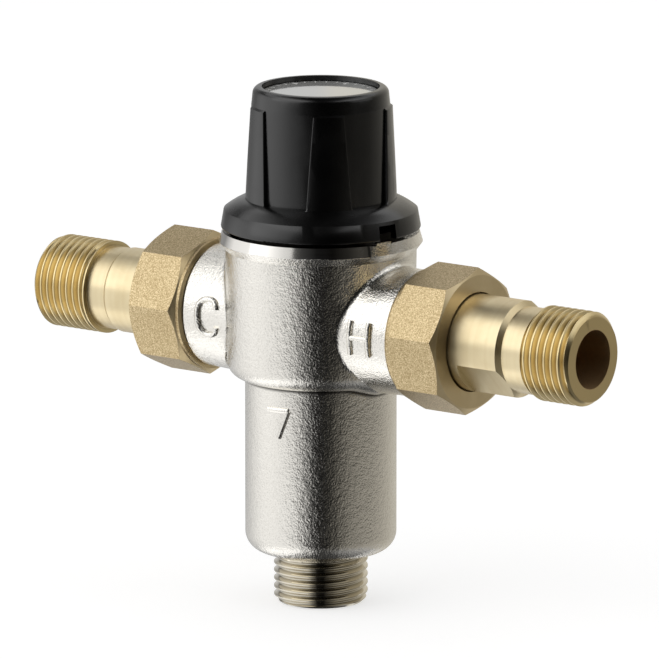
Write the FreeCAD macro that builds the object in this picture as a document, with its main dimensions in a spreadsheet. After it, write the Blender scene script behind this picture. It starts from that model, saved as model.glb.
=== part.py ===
"""Thermostatic mixing valve with union tailpieces and a setting knob.

Frame, in millimetres: the origin is the centre of the mixed-water outlet's end face, +Z runs up
the valve's axis, +X points to the hot inlet and -Y to the front.
Every driving size is a row of the "dims" sheet; the features read it through expressions.
"""
import FreeCAD, Part
import math
import os
import Sketcher

SHEET = "dims"

# Name, value in millimetres or degrees, what it is.
SIZES = [
    ("pipe_radius", 10.478, "major radius of the half-inch parallel pipe thread"),
    ("union_radius", 13.22, "major radius of the three-quarter-inch union thread"),
    ("thread_clear", 0.08, "radial clearance of the nut on the union thread"),
    ("sliding_clear", 0.05, "radial clearance of sliding and turning fits"),
    ("seal_clear", 0.02, "radial gap left outside an O-ring"),
    ("loose_clear", 0.35, "radial clearance between pieces that do not fit each other"),
    ("chamfer_small", 0.4, "small edge break"),
    ("port_height", 63.9, "height of the two inlets' common axis"),
    ("spigot_bevel", 1.1, "lead-in bevel at a pipe thread's end"),
    ("outlet_relief_z", 9.3, "start of the relief above the outlet thread"),
    ("outlet_bore", 7.2, "radius of the mixed outlet"),
    ("lower_bottom", 10.5, "underside of the lower barrel"),
    ("lower_round", 4.4, "round at the lower barrel's bottom edge"),
    ("upper_radius_top", 21.25, "radius of the upper barrel under the collar"),
    ("upper_round", 3.7, "round at the upper barrel's bottom edge"),
    ("lug_angle", 74.5, "direction of the collar's lug, from the front toward the hot side"),
    ("lug_width", 3.9, "width of the lug"),
    ("lug_tall", 0.6, "height of the lug"),
    ("lug_deep", 1.6, "radial depth of the lug"),
    ("boss_shoulder", 27.7, "distance of the boss shoulder from the valve's axis"),
    ("boss_blend", 1.6, "cast blend between a boss and the barrel"),
    ("port_bore", 7.9, "radius of the inlet bore that holds the check valve"),
    ("check_seat_bore", 9.6, "radius of the counterbore for the check valve's rim"),
    ("check_rim_deep", 1.3, "depth of that counterbore"),
    ("spring_ledge", 30.0, "ledge under the return spring"),
    ("land_radius", 12.6, "bore of the land"),
    ("passage_radius", 3.5, "radius of the drilled passage from a port to its water ring"),
    ("passage_inner", 14.0, "inner end of a passage"),
    ("seat_gap", 0.8, "shuttle's travel to either seat"),
    ("hub_outer", 7.4, "outer radius of the hub"),
    ("arm_width", 2.2, "width of a hub arm"),
    ("shuttle_seal_wire", 0.45, "section radius of the shuttle's O-ring"),
    ("bulb_radius", 5.55, "radius of the bulb"),
    ("capsule_rim_radius", 8.0, "radius of the element's rim"),
    ("capsule_neck_radius", 4.0, "radius of the element's neck"),
    ("piston_radius", 1.8, "radius of the element's piston"),
    ("return_wire", 0.65, "wire radius of the return spring"),
    ("return_mean", 9.2, "mean radius of the return spring"),
    ("return_turns", 5.0, "turns of the return spring"),
    ("clip_thick", 0.7, "thickness of a snap ring"),
    ("plate_thick", 1.6, "thickness of the pressure plate"),
    ("overload_wire", 0.55, "wire radius of the overload spring"),
    ("overload_turns", 2.5, "turns of the overload spring"),
    ("key_width", 2.8, "width of the cup's keys"),
    ("key_clear", 0.1, "clearance of a key in its slot, each side"),
    ("cup_chamber", 9.0, "radius of the bonnet's chamber for the cup"),
    ("bonnet_seal_wire", 0.8, "section radius of the bonnet's O-ring"),
    ("bonnet_flange_thick", 1.5, "thickness of that flange"),
    ("bonnet_hex", 23.0, "width across the bonnet's six flats"),
    ("bonnet_neck", 8.0, "radius of the bonnet's neck"),
    ("spindle_screw", 4.6, "radius of the spindle's thread"),
    ("spindle_collar", 6.1, "radius of the spindle's collar"),
    ("spindle_shaft", 4.0, "radius of the spindle's shaft"),
    ("spindle_seal_wire", 0.55, "section radius of the spindle's O-rings"),
    ("spindle_clip_floor", 3.3, "radius of a snap ring groove's floor in the spindle"),
    ("spindle_clip_outer", 5.6, "outer radius of the spindle's snap ring"),
    ("square_drive", 5.6, "width across the spindle's square"),
    ("drive_clear", 0.06, "clearance of the square in the knob, each side"),
    ("screw_radius", 1.75, "radius of the knob screw's thread"),
    ("screw_head", 3.6, "radius of the knob screw's head"),
    ("skirt_radius", 22.2, "radius of the skirt's band"),
    ("rib_radius_low", 16.85, "radius over the ribs at their foot"),
    ("rim_round", 1.5, "round at the rim's outer edge"),
    ("label_thick", 0.5, "thickness of the label"),
    ("label_gap", 0.15, "gap around the label"),
    ("knob_hub", 6.4, "radius of the knob's hub"),
    ("rib_angle", 43.0, "direction of one rib, from the front toward the hot side"),
    ("rib_count", 5, "number of ribs"),
    ("rib_half_top", 12.4, "half angle of a rib at its top"),
    ("rib_half_low", 17.6, "half angle of a rib at its foot"),
    ("notch_angle", 79.0, "direction of the skirt's notch"),
    ("notch_width", 4.9, "width of the notch"),
    ("notch_tall", 3.3, "height of the notch"),
    ("nut_flats", 30.2, "width across a union nut's eight flats"),
    ("nut_face_radius", 14.75, "radius of a union nut's round end faces"),
    ("nut_ring", 0.8, "length of the round ring at a nut's inner end"),
    ("nut_bevel", 1.6, "axial length of the cone that bevels a nut's corners"),
    ("nut_lip", 2.6, "thickness of the nut's inward lip"),
    ("hot_nut_turn", 8.2, "how far the hot nut stands turned from corner-to-front"),
    ("cold_nut_turn", 2.2, "how far the cold nut stands turned from corner-to-front"),
    ("gasket_thick", 1.6, "thickness of a union gasket"),
    ("gasket_inner", 8.2, "inner radius of a union gasket"),
    ("tail_bore", 6.5, "bore of a tailpiece"),
    ("tail_flats", 19.0, "width across the hot tailpiece's two flats"),
    ("tail_flats_turn", 45.0, "direction of the lower flat, down from the front"),
    ("cold_relief", 0.5, "length of the relief behind that thread"),
    ("strainer_rim", 1.4, "length of the strainer's rim"),
    ("strainer_wall", 0.5, "wall of the thimble"),
    ("strainer_slot", 1.3, "width of a slot in the thimble"),
    ("strainer_slots", 8, "number of slots"),
    ("check_lip", 0.9, "thickness of the seat lip"),
    ("check_lip_bore", 4.3, "bore of the seat lip"),
    ("check_mouth", 5.4, "bore of the housing's mouth"),
    ("check_seal_wire", 0.6, "section radius of the housing's O-ring"),
    ("check_hub", 2.3, "outer radius of the stem guide"),
    ("check_web", 1.5, "thickness of the guide's web"),
    ("check_arm", 1.4, "width of a web arm"),
    ("poppet_thick", 1.3, "thickness of that disc"),
    ("poppet_stem", 1.1, "radius of the poppet's stem"),
    ("check_wire", 0.3, "wire radius of the check valve's spring"),
    ("check_mean", 3.1, "mean radius of that spring"),
    ("check_turns", 4.0, "turns of that spring"),
]

# Name, the size it is measured from, signed distance from it, what it is.
PLACES = [
    ("upper_bottom", "port_height", -14.6, "underside of the upper barrel"),
    ("seat_ring_bottom", "port_height", -16.9, "underside of the cold seat ring"),
    ("cold_ring_bottom", "port_height", -13.3, "floor of the cold water ring"),
    ("seat_ring_top", "cold_ring_bottom", 0.9, "seat edge of the cold seat ring"),
    ("cold_passage_z", "port_height", -8.3, "height of the cold passage"),
    ("land_bottom", "port_height", -4.4, "bottom of the land that guides the shuttle"),
    ("land_top", "port_height", 2.6, "top of that land"),
    ("shuttle_seal_z", "port_height", -0.9, "height of the shuttle's O-ring"),
    ("hot_passage_z", "port_height", 7.3, "height of the hot passage"),
    ("hot_seat", "port_height", 11.1, "underside of the bonnet, which is the hot seat"),
    ("collar_top", "port_height", 20.15, "turned top face of the body"),
    ("collar_bottom", "collar_top", -2.35, "bottom of the turned collar wall"),
    ("flare_bottom", "collar_bottom", -1.8, "start of the cast flare under the collar"),
    ("outlet_relief_radius", "pipe_radius", -1.178, "radius of that relief"),
    ("upper_radius_low", "upper_radius_top", -0.45, "radius of the upper barrel near its bottom"),
    ("lower_radius", "upper_radius_low", -3.95, "radius of the lower barrel"),
    ("collar_radius", "upper_radius_top", 1.35, "radius of the collar"),
    ("annulus_radius", "upper_radius_top", -4.75, "radius of the cold and hot water rings"),
    ("bonnet_bore", "annulus_radius", 0.5, "radius of the bonnet's seat in the body"),
    ("seat_ring_outer", "land_radius", 0.4, "outer radius of the cold seat ring"),
    ("seat_ring_inner", "seat_ring_outer", -2.4, "bore of the cold seat ring"),
    ("spring_room", "seat_ring_outer", -1.0, "radius of the return spring's chamber"),
    ("sleeve_inner", "land_radius", -1.7, "bore of the shuttle's sleeve"),
    ("boss_end_radius", "union_radius", 0.78, "radius of an inlet boss at its shoulder"),
    ("boss_root_radius", "boss_end_radius", 0.45, "radius of an inlet boss at the barrel"),
    ("boss_face", "boss_shoulder", 8.3, "distance of the boss's sealing face"),
    ("port_bore_end", "boss_face", -16.0, "inner end of that bore"),
    ("passage_outer", "port_bore_end", 6.0, "outer end of a passage"),
    ("hub_bottom", "port_height", -6.4, "underside of the shuttle's hub and arms"),
    ("hub_top", "hub_bottom", 3.0, "top of the shuttle's hub and arms"),
    ("bulb_bottom", "hub_bottom", -13.0, "bottom of the wax element's bulb"),
    ("capsule_rim_top", "hub_top", 2.0, "top of the rim"),
    ("capsule_neck_top", "capsule_rim_top", 8.5, "top of the neck"),
    ("piston_bottom", "capsule_neck_top", -5.0, "bottom of the piston"),
    ("piston_room", "capsule_rim_top", 0.7, "bottom of the piston's bore"),
    ("cup_bottom", "hot_seat", 2.2, "lower rim of the adjusting cup"),
    ("cup_top", "cup_bottom", 9.8, "top of the adjusting cup"),
    ("cup_roof", "cup_top", -2.5, "underside of the cup's roof"),
    ("cup_room", "cup_chamber", -2.0, "inner radius of the cup"),
    ("cup_clip_z", "cup_bottom", 0.6, "bottom of the cup's snap ring"),
    ("plate_radius", "cup_room", -0.3, "radius of the pressure plate"),
    ("overload_mean", "cup_room", -1.25, "mean radius of the overload spring"),
    ("key_radius", "cup_chamber", 1.4, "radius over the cup's keys"),
    ("key_bottom", "cup_bottom", 2.8, "lower end of the keys"),
    ("key_top", "cup_top", -1.0, "upper end of the keys"),
    ("cup_chamber_top", "cup_top", 2.3, "roof of that chamber"),
    ("bonnet_seal_z", "hot_seat", 3.2, "height of the bonnet's O-ring"),
    ("bonnet_hex_top", "cup_chamber_top", 0.2, "top of the bonnet's hexagon"),
    ("spindle_bottom", "cup_roof", -2.5, "lower end of the spindle"),
    ("spindle_collar_low", "cup_chamber_top", 0.3, "underside of that collar"),
    ("spindle_collar_top", "spindle_collar_low", 1.7, "top of that collar"),
    ("collar_room_top", "spindle_collar_top", 0.7, "top of that recess"),
    ("collar_room", "spindle_collar", 0.5, "radius of the recess around that collar"),
    ("spindle_seal_low", "collar_room_top", 2.6, "height of the lower spindle O-ring"),
    ("spindle_seal_high", "spindle_seal_low", 3.8, "height of the upper spindle O-ring"),
    ("skirt_bottom", "collar_top", 0.75, "lower edge of the knob's skirt"),
    ("skirt_band_top", "skirt_bottom", 4.3, "top of the skirt's band"),
    ("skirt_room_top", "skirt_band_top", -0.4, "roof of the skirt's hollow"),
    ("cone_top", "skirt_band_top", 3.2, "where the skirt's cone meets the barrel"),
    ("rib_top", "cone_top", 19.7, "top of the ribs"),
    ("knob_top", "rib_top", 4.3, "rim of the knob"),
    ("label_floor", "knob_top", -1.7, "floor of that recess"),
    ("web_bottom", "label_floor", -1.9, "underside of the knob's top web"),
    ("knob_hub_bottom", "web_bottom", -8.1, "lower end of the hub"),
    ("spindle_top", "web_bottom", -0.5, "upper end of the spindle"),
    ("screw_bottom", "spindle_top", -7.2, "lower end of the knob screw"),
    ("shaft_end", "knob_hub_bottom", -0.6, "where the shaft's square drive begins"),
    ("spindle_clip_z", "shaft_end", -1.9, "bottom of the spindle's snap ring"),
    ("bonnet_top", "spindle_clip_z", -0.1, "top of the bonnet's neck"),
    ("skirt_room", "skirt_radius", -1.9, "inner radius of the skirt"),
    ("bonnet_flange", "skirt_room", -1.7, "radius of the bonnet's flange"),
    ("rib_radius_top", "rib_radius_low", -0.95, "radius over the ribs at their top"),
    ("panel_radius_low", "rib_radius_low", -1.0, "radius of the panels at their foot"),
    ("barrel_room", "panel_radius_low", -2.15, "inner radius of the knob's barrel"),
    ("band_radius", "rib_radius_top", -0.55, "radius of the plain band above the ribs"),
    ("label_recess", "band_radius", -2.3, "radius of the recess for the label"),
    ("nut_inner", "boss_shoulder", 0.9, "inner face of a union nut"),
    ("nut_outer", "boss_face", 6.2, "outer face of a union nut"),
    ("gasket_outer", "union_radius", -0.62, "outer radius of a union gasket"),
    ("tail_flange", "union_radius", -0.37, "radius of a tailpiece's flange"),
    ("tail_end", "boss_face", 37.5, "outer end of a tailpiece"),
    ("strainer_room_end", "boss_face", 14.5, "outer end of the strainer's counterbore"),
    ("hot_tail_barrel", "pipe_radius", 0.222, "radius of the hot tailpiece's barrel"),
    ("nut_hole", "hot_tail_barrel", 0.35, "radius of the hole in the lip"),
    ("hot_tail_step", "tail_end", -18.6, "outer end of that barrel"),
    ("hot_tail_neck", "pipe_radius", -0.928, "radius of the hot tailpiece's neck"),
    ("hot_thread_start", "tail_end", -12.0, "inner end of the hot tailpiece's thread"),
    ("tail_flats_start", "nut_outer", 2.2, "inner end of the flats"),
    ("cold_tail_barrel", "pipe_radius", -0.878, "radius of the cold tailpiece's barrel"),
    ("cold_shoulder_end", "nut_outer", -0.4, "outer end of the cold tailpiece's shoulder"),
    ("cold_band_start", "tail_end", -14.8, "inner end of the cold tailpiece's plain band"),
    ("cold_thread_start", "tail_end", -12.8, "inner end of the cold tailpiece's thread"),
    ("strainer_tube", "tail_bore", -0.4, "outer radius of the strainer's thimble"),
    ("strainer_end", "boss_face", 12.6, "outer end of the thimble"),
    ("check_shell", "port_bore", -0.4, "outer radius of the check valve's housing"),
    ("check_room", "check_shell", -1.2, "inner radius of the housing"),
    ("check_inner_end", "boss_face", -13.8, "inner end of the housing"),
    ("check_seat_x", "boss_face", -3.6, "seat face inside the housing"),
    ("check_seal_x", "boss_face", -2.8, "place of the housing's O-ring"),
    ("poppet_radius", "check_room", -1.0, "radius of the poppet's disc"),
    ("poppet_stem_end", "check_inner_end", 0.4, "inner end of the stem"),
]

FULL_TURN = 360.0
HALF_TURN = 180.0
QUARTER = 90.0
CLIP_OPEN = 40.0
OUT_OF_WAY = 6.0
CUT_PAST = 1.0
HALF = 0.5
NUT_SIDES = 8
STEP_SLOPE = 0.8


class Size:
    """A number together with the sheet formula that yields it."""

    def __init__(self, value, formula):
        self.value = float(value)
        self.formula = formula

    @staticmethod
    def of(item):
        return item if isinstance(item, Size) else Size(item, "%.6g" % item)

    def _join(self, other, sign, value):
        other = Size.of(other)
        return Size(value, "(%s %s %s)" % (self.formula, sign, other.formula))

    def __add__(self, other):
        return self._join(other, "+", self.value + Size.of(other).value)

    def __radd__(self, other):
        return Size.of(other) + self

    def __sub__(self, other):
        return self._join(other, "-", self.value - Size.of(other).value)

    def __rsub__(self, other):
        return Size.of(other) - self

    def __mul__(self, other):
        return self._join(other, "*", self.value * Size.of(other).value)

    def __rmul__(self, other):
        return Size.of(other) * self

    def __truediv__(self, other):
        return self._join(other, "/", self.value / Size.of(other).value)

    def __rtruediv__(self, other):
        return Size.of(other) / self

    def __neg__(self):
        return Size(-self.value, "(0 - %s)" % self.formula)


def trig(name, angle):
    """cos, sin or tan of a Size in degrees."""
    value = getattr(math, name)(math.radians(angle.value))
    return Size(value, "%s(%s * 1 deg)" % (name, angle.formula))


class Dims:
    """Fills the sheet and hands out its rows as Size objects; a place's row adds its rise to its base."""

    def __init__(self, doc):
        sheet = doc.addObject("Spreadsheet::Sheet", SHEET)
        for row, (name, value, note) in enumerate(SIZES, start=1):
            sheet.set("A%d" % row, name)
            sheet.set("B%d" % row, "%.6g" % value)
            sheet.set("C%d" % row, note)
            sheet.setAlias("B%d" % row, name)
            setattr(self, name, Size(value, "%s.%s" % (SHEET, name)))
        for row, (name, base, rise, note) in enumerate(PLACES, start=len(SIZES) + 1):
            sheet.set("A%d" % row, name)
            sheet.set("B%d" % row, "%.6g" % rise)
            sheet.set("C%d" % row, note)
            sheet.set("D%d" % row, "=%s + B%d" % (base, row))
            sheet.setAlias("B%d" % row, name + "_rise")
            sheet.setAlias("D%d" % row, name)
            setattr(self, name, Size(getattr(self, base).value + rise, "%s.%s" % (SHEET, name)))
        doc.recompute()


doc = FreeCAD.newDocument("mixing_valve")
d = Dims(doc)
finished = []


def bind(obj, prop, size):
    """Ties a property to a Size's formula."""
    obj.setExpression(prop, Size.of(size).formula)


def origin_part(body, role):
    """One of the body's own origin planes or axes."""
    return next(o for o in body.Origin.OriginFeatures if o.Role == role)


def new_body(label):
    body = doc.addObject("PartDesign::Body", label)
    body.Label = label
    return body


def new_sketch(body, plane="XZ_Plane", shift=None, lift=None):
    """Sketch on an origin plane; shift moves its origin up the plane, lift moves it off the plane."""
    sketch = body.newObject("Sketcher::SketchObject", "Outline")
    sketch.AttachmentSupport = [(origin_part(body, plane), "")]
    sketch.MapMode = "FlatFace"
    if shift is not None:
        bind(sketch, "AttachmentOffset.Base.y", shift)
    if lift is not None:
        bind(sketch, "AttachmentOffset.Base.z", lift)
    return sketch


def pin_point(sketch, geo, end, across, up):
    """Fixes a vertex by its signed distances from the sketch's origin."""
    for kind, axis, size in (("DistanceX", -2, across), ("DistanceY", -1, up)):
        if size.value == 0.0:
            sketch.addConstraint(Sketcher.Constraint("PointOnObject", geo, end, axis))
            continue
        index = sketch.addConstraint(Sketcher.Constraint(kind, -1, 1, geo, end, size.value))
        sketch.setExpression("Constraints[%d]" % index, size.formula)


def draw_polygon(sketch, points):
    """Closed polygon through (across, up) pairs."""
    pairs = [(Size.of(a), Size.of(b)) for a, b in points]
    spots = [FreeCAD.Vector(a.value, b.value, 0.0) for a, b in pairs]
    count = len(spots)
    for i in range(count):
        sketch.addGeometry(Part.LineSegment(spots[i], spots[(i + 1) % count]), False)
    for i in range(count):
        follows = Sketcher.Constraint("Coincident", i, 2, (i + 1) % count, 1)
        sketch.addConstraint(follows)
    for i, (across, up) in enumerate(pairs):
        pin_point(sketch, i, 1, across, up)


def draw_circle(sketch, across, up, radius):
    across, up, radius = Size.of(across), Size.of(up), Size.of(radius)
    centre = FreeCAD.Vector(across.value, up.value, 0.0)
    geo = sketch.addGeometry(Part.Circle(centre, FreeCAD.Vector(0, 0, 1), radius.value), False)
    pin_point(sketch, geo, 3, across, up)
    index = sketch.addConstraint(Sketcher.Constraint("Radius", geo, radius.value))
    sketch.setExpression("Constraints[%d]" % index, radius.formula)


def spin(body, points, kind="Revolution", axis="V_Axis", shift=None, angle=FULL_TURN):
    """Turns a polygon about the body's Z axis, or about the sketch's level axis at a shift."""
    sketch = new_sketch(body, "XZ_Plane", shift)
    draw_polygon(sketch, points)
    turn = body.newObject("PartDesign::" + kind, kind)
    turn.Profile = sketch
    turn.ReferenceAxis = (sketch, [axis])
    turn.Angle = angle
    return turn


def push(body, kind, sketch, length, both=False, back=False):
    """Pad or Pocket of a sketch over a length."""
    feature = body.newObject("PartDesign::" + kind, kind)
    feature.Profile = sketch
    bind(feature, "Length", length)
    feature.Midplane = both
    feature.Reversed = back
    return feature


def around(body, feature, count):
    """Repeats a feature evenly about the body's Z axis."""
    ring = body.newObject("PartDesign::PolarPattern", "Ring")
    ring.Originals = [feature]
    ring.Axis = (origin_part(body, "Z_Axis"), [""])
    ring.Angle = FULL_TURN
    bind(ring, "Occurrences", count)
    body.Tip = ring
    return ring


def ring_edges(shape, radius, height):
    """Names of the full circles of a radius at a height about the Z axis."""
    names = []
    for index, edge in enumerate(shape.Edges, start=1):
        curve = edge.Curve
        if not isinstance(curve, Part.Circle):
            continue
        level = abs(curve.Center.z - height.value) < 1e-4
        if level and abs(curve.Radius - radius.value) < 1e-4 and math.hypot(*curve.Center[:2]) < 1e-4:
            names.append("Edge%d" % index)
    return names


def round_rings(body, radius, rings):
    """Fillets the circles given as (radius, height) pairs."""
    doc.recompute()
    base = body.Tip
    names = []
    for ring in rings:
        names += ring_edges(base.Shape, *ring)
    fillet = body.newObject("PartDesign::Fillet", "Round")
    fillet.Base = (base, names)
    bind(fillet, "Radius", radius)
    return fillet


def finish(obj, label):
    """Names a finished piece; its label becomes its file's name."""
    obj.Label = label
    finished.append(obj)
    return obj


def torus(label, ring, wire, height):
    """O-ring about the Z axis."""
    seal = doc.addObject("Part::Torus", label)
    bind(seal, "Radius1", ring)
    bind(seal, "Radius2", wire)
    bind(seal, "Placement.Base.z", height)
    return finish(seal, label)


def coil(label, mean, wire, turns, low, high):
    """Round-wire spring whose wire's outside just meets the two levels."""
    rise = high - low - 2 * wire
    path = doc.addObject("Part::Helix", label + "_path")
    bind(path, "Radius", mean)
    bind(path, "Height", rise)
    bind(path, "Pitch", rise / turns)
    path.SegmentLength = 0.0
    section = doc.addObject("Part::Circle", label + "_section")
    bind(section, "Radius", wire)
    section.Placement.Rotation = FreeCAD.Rotation(FreeCAD.Vector(1, 0, 0), QUARTER)
    bind(section, "Placement.Base.x", mean)
    sweep = doc.addObject("Part::Sweep", label)
    sweep.Sections = [section]
    sweep.Spine = (path, ["Edge1"])
    sweep.Solid = True
    sweep.Frenet = True
    bind(sweep, "Placement.Base.z", low + wire)
    return finish(sweep, label)


def on_port(obj, hot):
    """Lays a piece built along +Z onto the hot (+X) or cold (-X) inlet."""
    turn = QUARTER if hot else -QUARTER
    obj.Placement.Rotation = FreeCAD.Rotation(FreeCAD.Vector(0, 1, 0), turn)
    bind(obj, "Placement.Base.z", d.port_height)


# ---------------------------------------------------------------- body and seat

def valve_body():
    body = new_body("valve_body")
    end = d.pipe_radius - d.spigot_bevel
    spin(body, [
        (0, 0), (end, 0), (d.pipe_radius, d.spigot_bevel),
        (d.pipe_radius, d.outlet_relief_z), (d.outlet_relief_radius, d.outlet_relief_z + d.spigot_bevel),
        (d.outlet_relief_radius, d.lower_bottom), (d.lower_radius, d.lower_bottom),
        (d.lower_radius, d.upper_bottom), (d.upper_radius_low, d.upper_bottom),
        (d.upper_radius_top, d.flare_bottom), (d.collar_radius, d.collar_bottom),
        (d.collar_radius, d.collar_top), (0, d.collar_top)])
    round_rings(body, d.lower_round, [(d.lower_radius, d.lower_bottom)])
    round_rings(body, d.upper_round, [(d.upper_radius_low, d.upper_bottom)])
    for side in (1, -1):
        spin(body, [
            (0, 0), (0, d.boss_root_radius), (side * d.passage_inner, d.boss_root_radius),
            (side * d.boss_shoulder, d.boss_end_radius), (side * d.boss_shoulder, d.union_radius),
            (side * (d.boss_face - d.spigot_bevel), d.union_radius),
            (side * d.boss_face, d.union_radius - d.spigot_bevel), (side * d.boss_face, 0)],
            axis="H_Axis", shift=d.port_height)
    blend_bosses(body)
    spin(body, [
        (0, -OUT_OF_WAY), (d.outlet_bore, -OUT_OF_WAY), (d.outlet_bore, d.spring_ledge),
        (d.spring_room, d.spring_ledge), (d.spring_room, d.seat_ring_bottom),
        (d.seat_ring_outer, d.seat_ring_bottom), (d.seat_ring_outer, d.cold_ring_bottom),
        (d.annulus_radius, d.cold_ring_bottom), (d.annulus_radius, d.land_bottom),
        (d.land_radius, d.land_bottom), (d.land_radius, d.land_top),
        (d.annulus_radius, d.land_top), (d.annulus_radius, d.hot_seat),
        (d.bonnet_bore, d.hot_seat), (d.bonnet_bore, d.collar_top + OUT_OF_WAY),
        (0, d.collar_top + OUT_OF_WAY)], kind="Groove")
    for side, level in ((1, d.hot_passage_z), (-1, d.cold_passage_z)):
        spin(body, [
            (side * d.port_bore_end, 0), (side * d.port_bore_end, d.port_bore),
            (side * (d.boss_face - d.check_rim_deep), d.port_bore),
            (side * (d.boss_face - d.check_rim_deep), d.check_seat_bore),
            (side * (d.boss_face + OUT_OF_WAY), d.check_seat_bore),
            (side * (d.boss_face + OUT_OF_WAY), 0)],
            kind="Groove", axis="H_Axis", shift=d.port_height)
        spin(body, [
            (side * d.passage_inner, 0), (side * d.passage_inner, d.passage_radius),
            (side * d.passage_outer, d.passage_radius), (side * d.passage_outer, 0)],
            kind="Groove", axis="H_Axis", shift=level)
    add_lug(body)
    finish(body, "valve_body")


def blend_bosses(body):
    """Cast blend where each boss leaves the barrel."""
    doc.recompute()
    base = body.Tip
    names = []
    for index, edge in enumerate(base.Shape.Edges, start=1):
        box = edge.BoundBox
        inner = min(abs(box.XMin), abs(box.XMax))
        outer = max(abs(box.XMin), abs(box.XMax))
        round_boss = min(box.YLength, box.ZLength) > d.boss_end_radius.value * HALF
        if round_boss and CUT_PAST < inner and outer < d.boss_shoulder.value - CUT_PAST:
            names.append("Edge%d" % index)
    fillet = body.newObject("PartDesign::Fillet", "Blend")
    fillet.Base = (base, names)
    bind(fillet, "Radius", d.boss_blend)


def add_lug(body):
    """Cast lug on the collar's top, flush with its wall."""
    sketch = new_sketch(body, "XY_Plane", lift=d.collar_top - d.chamfer_small)
    outer = d.collar_radius - d.chamfer_small / 4
    inner = outer - d.lug_deep
    face = d.lug_angle - QUARTER
    ax, ay = trig("cos", face), trig("sin", face)
    half = d.lug_width * HALF
    corners = [(inner, -1), (outer, -1), (outer, 1), (inner, 1)]
    draw_polygon(sketch, [(ax * r - ay * (half * s), ay * r + ax * (half * s)) for r, s in corners])
    push(body, "Pad", sketch, d.lug_tall + d.chamfer_small)


def cold_seat_ring():
    body = new_body("cold_seat_ring")
    spin(body, [
        (d.seat_ring_inner, d.seat_ring_bottom), (d.seat_ring_outer, d.seat_ring_bottom),
        (d.seat_ring_outer, d.cold_ring_bottom), (d.seat_ring_outer - d.chamfer_small, d.seat_ring_top),
        (d.seat_ring_inner, d.seat_ring_top)])
    finish(body, "cold_seat_ring")


# ---------------------------------------------------------------- shuttle and wax element

def shuttle():
    low = d.seat_ring_top + d.seat_gap
    high = d.hot_seat - d.seat_gap
    outer = d.land_radius - d.sliding_clear
    floor = d.land_radius - d.seal_clear - 2 * d.shuttle_seal_wire - d.sliding_clear
    reach = d.shuttle_seal_wire + d.sliding_clear
    body = new_body("shuttle")
    spin(body, [
        (d.sleeve_inner, low), (outer, low), (outer, d.shuttle_seal_z - reach),
        (floor, d.shuttle_seal_z - reach), (floor, d.shuttle_seal_z + reach),
        (outer, d.shuttle_seal_z + reach), (outer, high), (d.sleeve_inner, high)])
    sketch = new_sketch(body, "XY_Plane", lift=d.hub_bottom)
    draw_circle(sketch, 0, 0, d.hub_outer)
    push(body, "Pad", sketch, d.hub_top - d.hub_bottom)
    arm = new_sketch(body, "XY_Plane", lift=d.hub_bottom)
    half = d.arm_width * HALF
    start = d.bulb_radius + d.loose_clear
    end = d.sleeve_inner + d.chamfer_small
    draw_polygon(arm, [(start, -half), (end, -half), (end, half), (start, half)])
    around(body, push(body, "Pad", arm, d.hub_top - d.hub_bottom), 4)
    hole = new_sketch(body, "XY_Plane", lift=d.hub_top + OUT_OF_WAY)
    draw_circle(hole, 0, 0, start)
    push(body, "Pocket", hole, d.hub_top - d.hub_bottom + 2 * OUT_OF_WAY)
    finish(body, "shuttle")
    torus("shuttle_o_ring", d.land_radius - d.seal_clear - d.shuttle_seal_wire,
          d.shuttle_seal_wire, d.shuttle_seal_z)


def wax_element():
    body = new_body("element_capsule")
    bore = d.piston_radius + d.sliding_clear
    spin(body, [
        (0, d.bulb_bottom), (d.bulb_radius - d.chamfer_small, d.bulb_bottom),
        (d.bulb_radius, d.bulb_bottom + d.chamfer_small), (d.bulb_radius, d.hub_top),
        (d.capsule_rim_radius, d.hub_top), (d.capsule_rim_radius, d.capsule_rim_top),
        (d.capsule_neck_radius, d.capsule_rim_top), (d.capsule_neck_radius, d.capsule_neck_top),
        (bore, d.capsule_neck_top), (bore, d.piston_room), (0, d.piston_room)])
    finish(body, "element_capsule")
    piston = new_body("element_piston")
    top = d.cup_clip_z + d.clip_thick
    spin(piston, [(0, d.piston_bottom), (d.piston_radius, d.piston_bottom), (d.piston_radius, top), (0, top)])
    finish(piston, "element_piston")
    coil("return_spring", d.return_mean, d.return_wire, d.return_turns, d.spring_ledge, d.hub_bottom)


# ---------------------------------------------------------------- adjuster

def adjusting_cup():
    body = new_body("adjusting_cup")
    outer = d.cup_chamber - d.sliding_clear
    thread = d.spindle_screw + d.sliding_clear
    groove = d.cup_room + d.chamfer_small
    clip_top = d.cup_clip_z + d.clip_thick
    spin(body, [
        (d.cup_room, d.cup_bottom), (outer, d.cup_bottom), (outer, d.cup_top), (thread, d.cup_top),
        (thread, d.cup_roof), (d.cup_room, d.cup_roof), (d.cup_room, clip_top), (groove, clip_top),
        (groove, d.cup_clip_z), (d.cup_room, d.cup_clip_z)])
    key = new_sketch(body, "XY_Plane", lift=d.key_bottom)
    half = d.key_width * HALF
    start = d.cup_room + d.chamfer_small
    draw_polygon(key, [(start, -half), (d.key_radius, -half), (d.key_radius, half), (start, half)])
    around(body, push(body, "Pad", key, d.key_top - d.key_bottom), 2)
    finish(body, "adjusting_cup")
    snap_ring("cup_snap_ring", d.cup_room - d.chamfer_small - d.plate_thick, groove,
              d.cup_clip_z, 0)
    plate = new_body("pressure_plate")
    spin(plate, [
        (0, clip_top), (d.plate_radius, clip_top), (d.plate_radius, clip_top + d.plate_thick),
        (0, clip_top + d.plate_thick)])
    finish(plate, "pressure_plate")
    coil("overload_spring", d.overload_mean, d.overload_wire, d.overload_turns,
         clip_top + d.plate_thick, d.cup_roof)


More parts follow.
